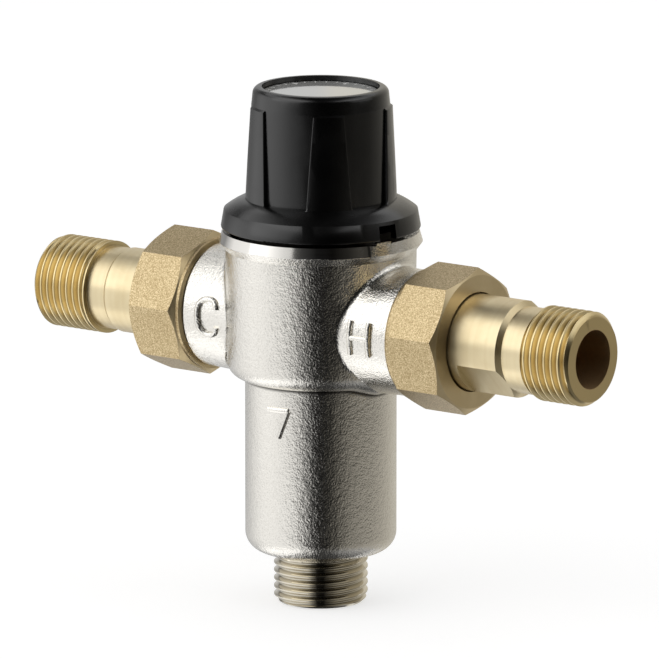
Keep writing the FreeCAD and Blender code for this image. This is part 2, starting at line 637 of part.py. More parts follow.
def snap_ring(label, inner, outer, low, lift):
    """Open ring of flat section."""
    body = new_body(label)
    low = low + lift
    spin(body, [(inner, low), (outer, low), (outer, low + d.clip_thick), (inner, low + d.clip_thick)],
         angle=FULL_TURN - CLIP_OPEN)
    finish(body, label)


def bonnet():
    body = new_body("bonnet")
    outer = d.bonnet_bore - d.sliding_clear
    floor = d.bonnet_bore - d.seal_clear - 2 * d.bonnet_seal_wire - d.sliding_clear
    reach = d.bonnet_seal_wire + d.sliding_clear
    flange_top = d.collar_top + d.bonnet_flange_thick
    shaft = d.spindle_shaft + d.sliding_clear
    spin(body, [
        (d.cup_chamber, d.hot_seat), (outer, d.hot_seat), (outer, d.bonnet_seal_z - reach),
        (floor, d.bonnet_seal_z - reach), (floor, d.bonnet_seal_z + reach),
        (outer, d.bonnet_seal_z + reach), (outer, d.collar_top), (d.bonnet_flange, d.collar_top),
        (d.bonnet_flange, flange_top), (d.bonnet_neck, flange_top), (d.bonnet_neck, d.bonnet_top),
        (shaft, d.bonnet_top), (shaft, d.collar_room_top), (d.collar_room, d.collar_room_top),
        (d.collar_room, d.cup_chamber_top), (d.cup_chamber, d.cup_chamber_top)])
    hexagon = new_sketch(body, "XY_Plane", lift=flange_top - d.chamfer_small)
    corner = d.bonnet_hex * HALF / math.cos(math.pi / 6)
    draw_polygon(hexagon, regular(corner, 6, 0))
    push(body, "Pad", hexagon, d.bonnet_hex_top - flange_top + d.chamfer_small)
    chamber = new_sketch(body, "XY_Plane", lift=d.cup_chamber_top)
    draw_circle(chamber, 0, 0, d.cup_chamber)
    push(body, "Pocket", chamber, d.cup_chamber_top - d.hot_seat + OUT_OF_WAY)
    recess = new_sketch(body, "XY_Plane", lift=d.collar_room_top)
    draw_circle(recess, 0, 0, d.collar_room)
    push(body, "Pocket", recess, d.collar_room_top - d.hot_seat)
    slot = new_sketch(body, "XY_Plane", lift=d.cup_chamber_top)
    half = d.key_width * HALF + d.key_clear
    reach_key = d.key_radius + d.key_clear
    draw_polygon(slot, [(-reach_key, -half), (reach_key, -half), (reach_key, half), (-reach_key, half)])
    push(body, "Pocket", slot, d.cup_chamber_top - d.hot_seat + OUT_OF_WAY)
    finish(body, "bonnet")
    torus("bonnet_o_ring", d.bonnet_bore - d.seal_clear - d.bonnet_seal_wire,
          d.bonnet_seal_wire, d.bonnet_seal_z)


def regular(corner, sides, turn):
    """Corners of a regular polygon, the first one turned from the sketch's level axis."""
    turn = Size.of(turn)
    step = FULL_TURN / sides
    return [(trig("cos", turn + step * k) * corner, trig("sin", turn + step * k) * corner)
            for k in range(sides)]


# ---------------------------------------------------------------- spindle

def spindle():
    body = new_body("spindle")
    shaft = d.spindle_shaft
    floor = shaft + d.sliding_clear - d.seal_clear - 2 * d.spindle_seal_wire - d.seal_clear
    reach = d.spindle_seal_wire + d.sliding_clear
    clip_low, clip_high = d.spindle_clip_z - d.sliding_clear, d.spindle_clip_z + d.clip_thick + d.sliding_clear
    profile = [
        (0, d.spindle_bottom), (d.spindle_screw, d.spindle_bottom),
        (d.spindle_screw, d.spindle_collar_low), (d.spindle_collar, d.spindle_collar_low),
        (d.spindle_collar, d.spindle_collar_top), (shaft, d.spindle_collar_top)]
    for level in (d.spindle_seal_low, d.spindle_seal_high):
        profile += [(shaft, level - reach), (floor, level - reach),
                    (floor, level + reach), (shaft, level + reach)]
    profile += [
        (shaft, clip_low), (d.spindle_clip_floor, clip_low), (d.spindle_clip_floor, clip_high),
        (shaft, clip_high), (shaft, d.shaft_end), (0, d.shaft_end)]
    spin(body, profile)
    drive = new_sketch(body, "XY_Plane", lift=d.shaft_end - d.chamfer_small)
    half = d.square_drive * HALF
    draw_polygon(drive, [(-half, -half), (half, -half), (half, half), (-half, half)])
    push(body, "Pad", drive, d.spindle_top - d.shaft_end + d.chamfer_small)
    hole = new_sketch(body, "XY_Plane", lift=d.spindle_top)
    draw_circle(hole, 0, 0, d.screw_radius + d.sliding_clear)
    push(body, "Pocket", hole, d.spindle_top - d.screw_bottom + d.chamfer_small)
    finish(body, "spindle")
    ring = shaft + d.sliding_clear - d.seal_clear - d.spindle_seal_wire
    torus("spindle_o_ring_lower", ring, d.spindle_seal_wire, d.spindle_seal_low)
    torus("spindle_o_ring_upper", ring, d.spindle_seal_wire, d.spindle_seal_high)
    washer = new_body("spindle_washer")
    low, high = d.spindle_collar_top, d.collar_room_top - d.sliding_clear
    inner = shaft + d.sliding_clear
    spin(washer, [(inner, low), (d.spindle_collar, low), (d.spindle_collar, high), (inner, high)])
    finish(washer, "spindle_washer")
    snap_ring("spindle_snap_ring", d.spindle_clip_floor + d.seal_clear, d.spindle_clip_outer,
              d.spindle_clip_z, 0)


# ---------------------------------------------------------------- knob

def temperature_knob():
    shell = new_body("knob_shell")
    spin(shell, [
        (d.skirt_room, d.skirt_bottom), (d.skirt_radius, d.skirt_bottom),
        (d.skirt_radius, d.skirt_band_top), (d.rib_radius_low, d.cone_top),
        (d.rib_radius_top, d.rib_top), (d.band_radius, d.rib_top + d.chamfer_small),
        (d.band_radius - d.chamfer_small, d.knob_top), (d.label_recess, d.knob_top),
        (d.label_recess, d.label_floor), (0, d.label_floor), (0, d.web_bottom),
        (d.barrel_room, d.web_bottom), (d.barrel_room, d.skirt_room_top),
        (d.skirt_room, d.skirt_room_top)])
    round_rings(shell, d.rim_round, [(d.band_radius - d.chamfer_small, d.knob_top)])
    round_rings(shell, d.chamfer_small * 2, [(d.skirt_radius, d.skirt_band_top)])
    round_rings(shell, d.chamfer_small, [(d.skirt_radius, d.skirt_bottom)])
    hub = new_sketch(shell, "XY_Plane", lift=d.knob_hub_bottom)
    draw_circle(hub, 0, 0, d.knob_hub)
    push(shell, "Pad", hub, d.web_bottom - d.knob_hub_bottom + d.chamfer_small)
    bore = new_sketch(shell, "XY_Plane", lift=d.spindle_top + d.chamfer_small)
    half = d.square_drive * HALF + d.drive_clear
    draw_polygon(bore, [(-half, -half), (half, -half), (half, half), (-half, half)])
    push(shell, "Pocket", bore, d.spindle_top - d.knob_hub_bottom + OUT_OF_WAY)
    seat = new_sketch(shell, "XY_Plane", lift=d.label_floor)
    draw_circle(seat, 0, 0, d.screw_head + d.loose_clear)
    push(shell, "Pocket", seat, d.label_floor - d.web_bottom)
    shank = new_sketch(shell, "XY_Plane", lift=d.label_floor)
    draw_circle(shank, 0, 0, d.screw_radius + d.loose_clear)
    push(shell, "Pocket", shank, d.label_floor - d.spindle_top)
    notch = new_sketch(shell, "XY_Plane", lift=d.skirt_bottom + d.notch_tall)
    face = d.notch_angle - QUARTER
    ax, ay = trig("cos", face), trig("sin", face)
    side = d.notch_width * HALF
    near, far = d.skirt_room - CUT_PAST, d.skirt_radius + CUT_PAST
    corners = [(near, -1), (far, -1), (far, 1), (near, 1)]
    draw_polygon(notch, [(ax * r - ay * (side * s), ay * r + ax * (side * s)) for r, s in corners])
    push(shell, "Pocket", notch, d.notch_tall + OUT_OF_WAY)
    knob = doc.addObject("Part::Cut", "temperature_knob")
    knob.Base = shell
    knob.Tool = grip_panels()
    finish(knob, "temperature_knob")


def grip_panels():
    """Material taken away between the ribs: a tapered ring met by five slant-sided wedges."""
    outer = d.rib_radius_low + CUT_PAST
    end = d.rib_top + CUT_PAST
    ring = new_body("panel_ring")
    spin(ring, [
        (d.panel_radius_low, d.cone_top), (outer, d.cone_top), (outer, end), (d.band_radius, end)])
    wedge = new_body("panel_wedges")
    half_step = HALF_TURN / d.rib_count
    mid = d.rib_angle - QUARTER + half_step
    inner, reach = d.barrel_room - OUT_OF_WAY, outer + OUT_OF_WAY
    levels = ((d.cone_top, d.rib_half_low), (end, d.rib_half_top))
    sections = [
        wedge_section(wedge, level, mid, half_step - half, inner, reach) for level, half in levels]
    loft = wedge.newObject("PartDesign::AdditiveLoft", "Wedge")
    loft.Profile = sections[0]
    loft.Sections = [sections[1]]
    loft.Ruled = True
    around(wedge, loft, d.rib_count)
    panels = doc.addObject("Part::Common", "grip_panels")
    panels.Base = ring
    panels.Tool = wedge
    return panels


def wedge_section(body, level, mid, half, inner, outer):
    """Four-cornered sector between two radii, about a middle direction."""
    sketch = new_sketch(body, "XY_Plane", lift=level)
    spots = []
    for radius, sign in ((inner, -1), (outer, -1), (outer, 1), (inner, 1)):
        way = mid + half * sign
        spots.append((trig("cos", way) * radius, trig("sin", way) * radius))
    draw_polygon(sketch, spots)
    return sketch


def knob_trim():
    label = new_body("dial_label")
    rim = d.label_recess - d.label_gap
    top = d.label_floor + d.label_thick
    spin(label, [(0, d.label_floor), (rim, d.label_floor), (rim, top), (0, top)])
    finish(label, "dial_label")
    screw = new_body("knob_screw")
    head_top = d.label_floor - d.chamfer_small
    spin(screw, [
        (0, d.screw_bottom), (d.screw_radius, d.screw_bottom), (d.screw_radius, d.web_bottom),
        (d.screw_head, d.web_bottom), (d.screw_head, head_top), (0, head_top)])
    finish(screw, "knob_screw")


# ---------------------------------------------------------------- unions

def gasket_outer_face():
    return d.boss_face + d.gasket_thick


def union_nut(hot):
    label = "%s_union_nut" % ("hot" if hot else "cold")
    blank = new_body(label + "_blank")
    corner = d.nut_flats * HALF / math.cos(math.pi / NUT_SIDES)
    bore = d.union_radius + d.thread_clear
    lip = d.nut_outer - d.nut_lip
    ring_end = d.nut_inner + d.nut_ring
    spin(blank, [
        (bore, d.nut_inner), (d.nut_face_radius, d.nut_inner), (d.nut_face_radius, ring_end),
        (corner + CUT_PAST, ring_end + d.nut_bevel), (corner + CUT_PAST, d.nut_outer - d.nut_bevel),
        (d.nut_face_radius, d.nut_outer), (d.nut_hole, d.nut_outer), (d.nut_hole, lip), (bore, lip)])
    prism = new_body(label + "_flats")
    outline = new_sketch(prism, "XY_Plane", lift=d.nut_inner - CUT_PAST)
    turn = (-d.hot_nut_turn if hot else d.cold_nut_turn) - QUARTER
    draw_polygon(outline, regular(corner, NUT_SIDES, turn))
    push(prism, "Pad", outline, d.nut_outer - d.nut_inner + 2 * CUT_PAST)
    nut = doc.addObject("Part::Common", label)
    nut.Base = blank
    nut.Tool = prism
    on_port(nut, hot)
    finish(nut, label)


def union_gasket(hot):
    label = "%s_union_gasket" % ("hot" if hot else "cold")
    body = new_body(label)
    face = gasket_outer_face()
    spin(body, [
        (d.gasket_inner, d.boss_face), (d.gasket_outer, d.boss_face), (d.gasket_outer, face),
        (d.gasket_inner, face)])
    on_port(body, hot)
    finish(body, label)


def tail_inside():
    """Inner wall of a tailpiece, from its outer end back to its flange."""
    return [
        (d.tail_bore, d.tail_end), (d.tail_bore, d.strainer_room_end),
        (d.port_bore, d.strainer_room_end), (d.port_bore, gasket_outer_face())]


def tail_flange_points(barrel):
    lip = d.nut_outer - d.nut_lip
    return [(d.tail_flange, gasket_outer_face()), (d.tail_flange, lip), (barrel, lip)]


def hot_tailpiece():
    body = new_body("hot_tailpiece")
    bevel = d.hot_tail_barrel - d.hot_tail_neck
    spin(body, tail_flange_points(d.hot_tail_barrel) + [
        (d.hot_tail_barrel, d.hot_tail_step), (d.hot_tail_neck, d.hot_tail_step + bevel * STEP_SLOPE),
        (d.hot_tail_neck, d.hot_thread_start - d.chamfer_small * 2),
        (d.pipe_radius, d.hot_thread_start + d.chamfer_small),
        (d.pipe_radius, d.tail_end - d.spigot_bevel), (d.pipe_radius - d.spigot_bevel, d.tail_end)]
        + tail_inside())
    flats = new_sketch(body, "XY_Plane", lift=d.tail_flats_start)
    ax, ay = trig("sin", d.tail_flats_turn), trig("cos", d.tail_flats_turn)
    near, far, wide = d.tail_flats * HALF, d.hot_tail_barrel + CUT_PAST, d.hot_tail_barrel
    corners = [(near, -1), (far, -1), (far, 1), (near, 1)]
    draw_polygon(flats, [(ax * r + ay * (wide * s), ax * (wide * s) - ay * r) for r, s in corners])
    cut = push(body, "Pocket", flats, d.hot_thread_start - d.tail_flats_start - d.chamfer_small * 3, back=True)
    around(body, cut, 2)
    on_port(body, True)
    finish(body, "hot_tailpiece")


def cold_tailpiece():
    body = new_body("cold_tailpiece")
    shoulder = d.hot_tail_barrel
    bevel = shoulder - d.cold_tail_barrel
    relief_start = d.cold_thread_start - d.cold_relief
    spin(body, tail_flange_points(shoulder) + [
        (shoulder, d.cold_shoulder_end - bevel), (d.cold_tail_barrel, d.cold_shoulder_end),
        (d.cold_tail_barrel, d.cold_band_start), (d.pipe_radius, d.cold_band_start + d.chamfer_small),
        (d.pipe_radius, relief_start), (d.cold_tail_barrel, relief_start),
        (d.cold_tail_barrel, d.cold_thread_start), (d.pipe_radius, d.cold_thread_start),
        (d.pipe_radius, d.tail_end - d.spigot_bevel), (d.pipe_radius - d.spigot_bevel, d.tail_end)]
        + tail_inside())
    on_port(body, False)
    finish(body, "cold_tailpiece")


def strainer(hot):
    label = "%s_strainer" % ("hot" if hot else "cold")
    body = new_body(label)
    face = gasket_outer_face()
    inner = d.strainer_tube - d.strainer_wall
    spin(body, [
        (inner, face), (d.port_bore, face), (d.port_bore, face + d.strainer_rim),
        (d.strainer_tube, face + d.strainer_rim), (d.strainer_tube, d.strainer_end),
        (0, d.strainer_end), (0, d.strainer_end - d.strainer_wall),
        (inner, d.strainer_end - d.strainer_wall)])
    slot = new_sketch(body, "XY_Plane", lift=face + d.strainer_rim + CUT_PAST)
    half = d.strainer_slot * HALF
    start, end = inner - CUT_PAST, d.strainer_tube + CUT_PAST
    draw_polygon(slot, [(start, -half), (end, -half), (end, half), (start, half)])
    length = d.strainer_end - d.strainer_wall - face - d.strainer_rim - 2 * CUT_PAST
    around(body, push(body, "Pocket", slot, length, back=True), d.strainer_slots)
    on_port(body, hot)
    finish(body, label)


def check_valve(hot):
    side = "hot" if hot else "cold"
    body = new_body(side + "_check_housing")
    ring = d.port_bore - d.seal_clear - d.check_seal_wire
    floor = ring - d.check_seal_wire - d.sliding_clear
    reach = d.check_seal_wire + d.sliding_clear
    rim_low = d.boss_face - d.check_rim_deep
    lip_out = d.check_seat_x + d.check_lip
    spin(body, [
        (d.check_room, d.check_inner_end), (d.check_shell, d.check_inner_end),
        (d.check_shell, d.check_seal_x - reach), (floor, d.check_seal_x - reach),
        (floor, d.check_seal_x + reach), (d.check_shell, d.check_seal_x + reach),
        (d.check_shell, rim_low), (d.check_seat_bore - d.loose_clear, rim_low),
        (d.check_seat_bore - d.loose_clear, d.boss_face), (d.check_mouth, d.boss_face),
        (d.check_mouth, lip_out), (d.check_lip_bore, lip_out), (d.check_lip_bore, d.check_seat_x),
        (d.check_room, d.check_seat_x)])
    hub = new_sketch(body, "XY_Plane", lift=d.check_inner_end)
    draw_circle(hub, 0, 0, d.check_hub)
    push(body, "Pad", hub, d.check_web)
    arm = new_sketch(body, "XY_Plane", lift=d.check_inner_end)
    half = d.check_arm * HALF
    end = d.check_room + d.chamfer_small
    start = d.poppet_stem + d.loose_clear
    draw_polygon(arm, [(start, -half), (end, -half), (end, half), (start, half)])
    around(body, push(body, "Pad", arm, d.check_web), 3)
    guide = new_sketch(body, "XY_Plane", lift=d.check_inner_end + OUT_OF_WAY)
    draw_circle(guide, 0, 0, d.poppet_stem + d.sliding_clear)
    push(body, "Pocket", guide, 2 * OUT_OF_WAY)
    on_port(body, hot)
    finish(body, side + "_check_housing")

    poppet = new_body(side + "_check_poppet")
    back = d.check_seat_x - d.poppet_thick
    spin(poppet, [
        (0, d.poppet_stem_end), (d.poppet_stem, d.poppet_stem_end), (d.poppet_stem, back),
        (d.poppet_radius, back), (d.poppet_radius, d.check_seat_x), (0, d.check_seat_x)])
    on_port(poppet, hot)
    finish(poppet, side + "_check_poppet")

    spring = coil(side + "_check_spring", d.check_mean, d.check_wire, d.check_turns,
                  d.check_inner_end + d.check_web, back)
    seal = torus(side + "_check_o_ring", ring, d.check_seal_wire, d.check_seal_x)
    for piece, start in ((spring, d.check_inner_end + d.check_web + d.check_wire), (seal, d.check_seal_x)):
        on_port(piece, hot)
        bind(piece, "Placement.Base.x", start if hot else -start)


def export_all():
    """Checks every object, then writes one file per finished piece."""
    doc.recompute()
    for obj in doc.Objects:
        if "Invalid" in obj.State or "Error" in obj.State:
            raise RuntimeError("%s (%s) did not build: %s" % (obj.Label, obj.Name, obj.State))
    os.makedirs("parts", exist_ok=True)
    for obj in finished:
        shape = obj.Shape
        if shape.isNull() or not shape.isValid() or len(shape.Solids) != 1:
            raise RuntimeError("%s is not one valid solid" % obj.Label)
        shape.exportStep("parts/%s.step" % obj.Label)
        box = shape.BoundBox
        print("%-22s x %7.2f %7.2f  y %7.2f %7.2f  z %7.2f %7.2f  vol %9.1f" % (
            obj.Label, box.XMin, box.XMax, box.YMin, box.YMax, box.ZMin, box.ZMax, shape.Volume))


valve_body()
cold_seat_ring()
shuttle()
wax_element()
adjusting_cup()
bonnet()
spindle()
temperature_knob()
knob_trim()
hot_tailpiece()
cold_tailpiece()
for is_hot in (True, False):
    union_nut(is_hot)
    union_gasket(is_hot)
    strainer(is_hot)
    check_valve(is_hot)
export_all()
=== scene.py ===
"""Looks of a thermostatic mixing valve with union tailpieces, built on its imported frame.

Everything is in metres: +Z is the valve's axis, +X points to the hot inlet and -Y to the front.
"""

import logging
import math
from dataclasses import dataclass
from enum import Enum
from functools import partial
from typing import Callable, Mapping, Optional, Sequence, Union

import bmesh
import bpy
from mathutils import Matrix, Vector


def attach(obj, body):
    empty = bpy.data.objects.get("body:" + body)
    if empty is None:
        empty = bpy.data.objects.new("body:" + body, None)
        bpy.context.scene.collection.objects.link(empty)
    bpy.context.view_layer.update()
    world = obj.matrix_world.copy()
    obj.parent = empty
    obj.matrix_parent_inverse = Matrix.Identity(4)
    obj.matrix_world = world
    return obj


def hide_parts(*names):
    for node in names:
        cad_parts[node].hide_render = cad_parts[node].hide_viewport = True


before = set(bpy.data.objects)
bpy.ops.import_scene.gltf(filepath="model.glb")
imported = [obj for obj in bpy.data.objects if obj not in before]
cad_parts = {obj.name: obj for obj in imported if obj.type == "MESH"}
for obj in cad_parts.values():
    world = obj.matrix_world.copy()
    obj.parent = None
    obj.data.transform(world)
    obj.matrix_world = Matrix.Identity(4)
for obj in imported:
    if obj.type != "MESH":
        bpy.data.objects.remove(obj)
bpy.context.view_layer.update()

MM = 0.001
TINY = 0.02 * MM
MERGE = 1e-6
FULL_TURN = 2.0 * math.pi
CENTRE = (0.0, 0.0, 0.0)
UP = Vector((0.0, 0.0, 1.0))
FLAT = (1.0, 1.0, 0.0)
WHITE = (1.0, 1.0, 1.0)
PORT_HEIGHT = 63.9 * MM
# How far the ledge under the upper barrel rises, and the stretch of Y beside the inlets it rises over.
LEDGE_LIFT = 1.75 * MM
LEDGE_RISE = (2.5 * MM, 10.5 * MM)

Colour = tuple[float, float, float]
Pairs = tuple[tuple[float, float], ...]
Socket = bpy.types.NodeSocket
Sockets = Mapping[Union[int, str], Socket]
Feed = Union[float, Sequence[float], Socket]
Shape = bmesh.types.BMesh

log = logging.getLogger("valve")


class Side(Enum):
    """The two inlets, by the sign of their direction along X."""

    HOT = 1
    COLD = -1

    @property
    def word(self) -> str:
        """The side's name in lower case."""
        return self.name.lower()

    def onto_port(self) -> Matrix:
        """Transform that lays a piece built along +Z onto this inlet."""
        turn = Matrix.Rotation(self.value * math.pi / 2, 4, "Y")
        return Matrix.Translation((0.0, 0.0, PORT_HEIGHT)) @ turn


# ---------------------------------------------------------------- node writing

class Nodes:
    """Writes nodes and links into one node tree."""

    def __init__(self, tree: bpy.types.NodeTree) -> None:
        """Keeps the tree that the nodes go into."""
        self.tree = tree

    def feed(self, socket: Socket, value: Feed) -> None:
        """Links or sets one input.

        Args:
            socket: The input.
            value: Another node's output, or a plain value.
        """
        if isinstance(value, Socket):
            self.tree.links.new(value, socket)
        elif isinstance(value, (int, float)) or len(value) != 3 or socket.type != "RGBA":
            socket.default_value = value
        else:
            socket.default_value = (*value, 1.0)

    def node(self, kind: str, inputs: Optional[dict] = None, **settings: object) -> bpy.types.Node:
        """Adds a node.

        Args:
            kind: The node's type without its leading "ShaderNode".
            inputs: Values or outputs by input name or index.
            settings: Properties of the node.

        Returns:
            The new node.
        """
        node = self.tree.nodes.new("ShaderNode" + kind)
        for name, value in settings.items():
            setattr(node, name, value)
        for name, value in (inputs or {}).items():
            self.feed(node.inputs[name], value)
        return node

    def add(self, kind: str, inputs: Optional[dict] = None, **settings: object) -> Sockets:
        """Outputs of a new node, which takes what node() takes."""
        return self.node(kind, inputs, **settings).outputs

    def math(self, operation: str, *values: Feed) -> Socket:
        """Output of a Math node over the given values."""
        return self.add("Math", dict(enumerate(values)), operation=operation)[0]

    def vector(self, operation: str, *values: Feed) -> Sockets:
        """Outputs of a Vector Math node over the given values."""
        return self.add("VectorMath", dict(enumerate(values)), operation=operation)

    def split(self, place: Socket) -> Sockets:
        """A vector's X, Y and Z."""
        return self.add("SeparateXYZ", {0: place})

    def length(self, first: Socket, second: Socket) -> Socket:
        """Length of the line that goes so far along two square directions."""
        squares = (self.math("POWER", side, 2.0) for side in (first, second))
        return self.math("SQRT", self.math("ADD", *squares))

    def step(self, value: Feed, low: float, high: float) -> Socket:
        """Smooth step from 0 at low to 1 at high; low may be the greater."""
        return self.add("MapRange", {"Value": value, "From Min": low, "From Max": high},
                        interpolation_type="SMOOTHSTEP")["Result"]

    def mix(self, mask: Feed, first: Feed, second: Feed) -> Socket:
        """Colour between two colours by a mask."""
        return self.add("Mix", {0: mask, 6: first, 7: second}, data_type="RGBA")[2]

    def blend(self, mask: Feed, first: Feed, second: Feed) -> Socket:
        """Number between two numbers by a mask."""
        return self.add("Mix", {0: mask, 2: first, 3: second}, data_type="FLOAT")[0]

    def noise(self, vector: Socket, scale: Feed, detail: float = 2.0, roughness: float = 0.5,
              distortion: float = 0.0) -> Socket:
        """Noise from 0 to 1 over a vector, with the Noise node's own settings."""
        return self.add("TexNoise", {"Vector": vector, "Scale": scale, "Detail": detail,
                                     "Roughness": roughness, "Distortion": distortion})[0]

    def line_noise(self, along: Socket, detail: float) -> Socket:
        """Noise from 0 to 1 along one number."""
        return self.add("TexNoise", {"W": along, "Scale": 1.0, "Detail": detail},
                        noise_dimensions="1D")[0]

    def show(self, shader: Socket, kind: str = "OutputMaterial") -> None:
        """Ends the tree in an output that shows a shader."""
        self.node(kind, {"Surface": shader})


def emptied(owner: Union[bpy.types.Material, bpy.types.World]) -> bpy.types.NodeTree:
    """A material's or world's own tree, with its nodes removed."""
    owner.use_nodes = True
    owner.node_tree.nodes.clear()
    return owner.node_tree


class Coat(Nodes):
    """Writer of a material's tree round its Principled shader."""

    def __init__(self, material: bpy.types.Material) -> None:
        """Empties the material's tree and starts it with a shader that shows."""
        super().__init__(emptied(material))
        self.shader = self.node("BsdfPrincipled")
        self.place = self.add("TexCoord")["Object"]
        self.show(self.shader.outputs[0])

    def dress(self, inputs: dict[str, Feed], height: Feed) -> None:
        """Feeds the shader.

        Args:
            inputs: Values or outputs by the shader's input name.
            height: The surface's relief in metres.
        """
        bump = self.add("Bump", {"Strength": 1.0, "Distance": 1.0, "Height": height})
        for name, value in {**inputs, "Normal": bump[0]}.items():
            self.feed(self.shader.inputs[name], value)


# ---------------------------------------------------------------- shared effects

@dataclass(frozen=True)
class Effect:
    """A node group that more than one finish uses, built when first asked for."""

    name: str
    inputs: Mapping[str, float]
    outputs: tuple[str, ...]
    write: Callable[[Nodes, Sockets, Sockets], None]

    def _tree(self) -> bpy.types.NodeTree:
        """Builds the group, or finds it.

        Returns:
            The group, with a Vector input before its named numbers.
        """
        tree = bpy.data.node_groups.get(self.name)
        if tree is not None:
            return tree
        tree = bpy.data.node_groups.new(self.name, "ShaderNodeTree")
        tree.interface.new_socket("Vector", in_out="INPUT", socket_type="NodeSocketVector")
        for label, value in self.inputs.items():
            socket = tree.interface.new_socket(label, in_out="INPUT", socket_type="NodeSocketFloat")
            socket.default_value = value
        for label in self.outputs:
            tree.interface.new_socket(label, in_out="OUTPUT", socket_type="NodeSocketFloat")
        start, end = tree.nodes.new("NodeGroupInput"), tree.nodes.new("NodeGroupOutput")
        self.write(Nodes(tree), start.outputs, end.inputs)
        return tree

    def on(self, nodes: Nodes, **inputs: Feed) -> Sockets:
        """Outputs of the group, placed among a material's nodes with the given inputs."""
        return nodes.add("Group", inputs, node_tree=self._tree())


def write_grain(nodes: Nodes, given: Sockets, wanted: Sockets) -> None:
    """Pebbled skin of a casting: height in metres at full depth, and tone from 0 low to 1 high.

    Args:
        nodes: Writer of the group.
        given: The group's inputs.
        wanted: The group's outputs.
    """
    rate = nodes.math("DIVIDE", 1.0, given["Size"])
    fine = nodes.noise(given["Vector"], rate, roughness=0.55)
    broad = nodes.noise(given["Vector"], nodes.math("MULTIPLY", rate, 0.31), detail=1.0)
    rise = nodes.math("MULTIPLY_ADD", broad, 0.8, fine)
    nodes.feed(wanted["Height"], nodes.math("MULTIPLY", rise, given["Depth"]))
    nodes.feed(wanted["Tone"], nodes.step(fine, 0.32, 0.68))


def write_lines(nodes: Nodes, given: Sockets, wanted: Sockets) -> None:
    """Fine rings and broad streaks left by turning, which change only along Along.

    Args:
        nodes: Writer of the group.
        given: The group's inputs.
        wanted: The group's outputs.
    """
    along = nodes.math("DIVIDE", given["Along"], given["Spacing"])
    nodes.feed(wanted["Lines"], nodes.line_noise(along, 2.0))
    nodes.feed(wanted["Streaks"], nodes.line_noise(nodes.math("MULTIPLY", along, 0.09), 3.0))


def write_marks(nodes: Nodes, given: Sockets, wanted: Sockets) -> None:
    """Faint cloudy marks of handling and tarnish, from 0 to 1.

    Args:
        nodes: Writer of the group.
        given: The group's inputs.
        wanted: The group's outputs.
    """
    rate = nodes.math("DIVIDE", 1.0, given["Size"])
    cloud = nodes.noise(given["Vector"], rate, 5.0, 0.6, 0.4)
    nodes.feed(wanted["Marks"], nodes.step(cloud, 0.35, 0.7))


CAST_GRAIN = Effect("cast_grain", {"Size": 0.5 * MM, "Depth": 0.05 * MM}, ("Height", "Tone"), write_grain)
LATHE_LINES = Effect("lathe_lines", {"Along": 0.0, "Spacing": 0.12 * MM}, ("Lines", "Streaks"), write_lines)
HANDLING = Effect("handling", {"Size": 9.0 * MM}, ("Marks",), write_marks)


# ---------------------------------------------------------------- finishes

class Finish:
    """A surface's material, built when first asked for."""

    name: str = "finish"

    def material(self) -> bpy.types.Material:
        """Builds the material, or finds it.

        Returns:
            The one material of the finish's name.
        """
        found = bpy.data.materials.get(self.name)
        if found is None:
            found = bpy.data.materials.new(self.name)
            self.dress(Coat(found))
        return found

    def dress(self, coat: Coat) -> None:
        """Writes the finish's nodes with the given writer."""
        raise NotImplementedError


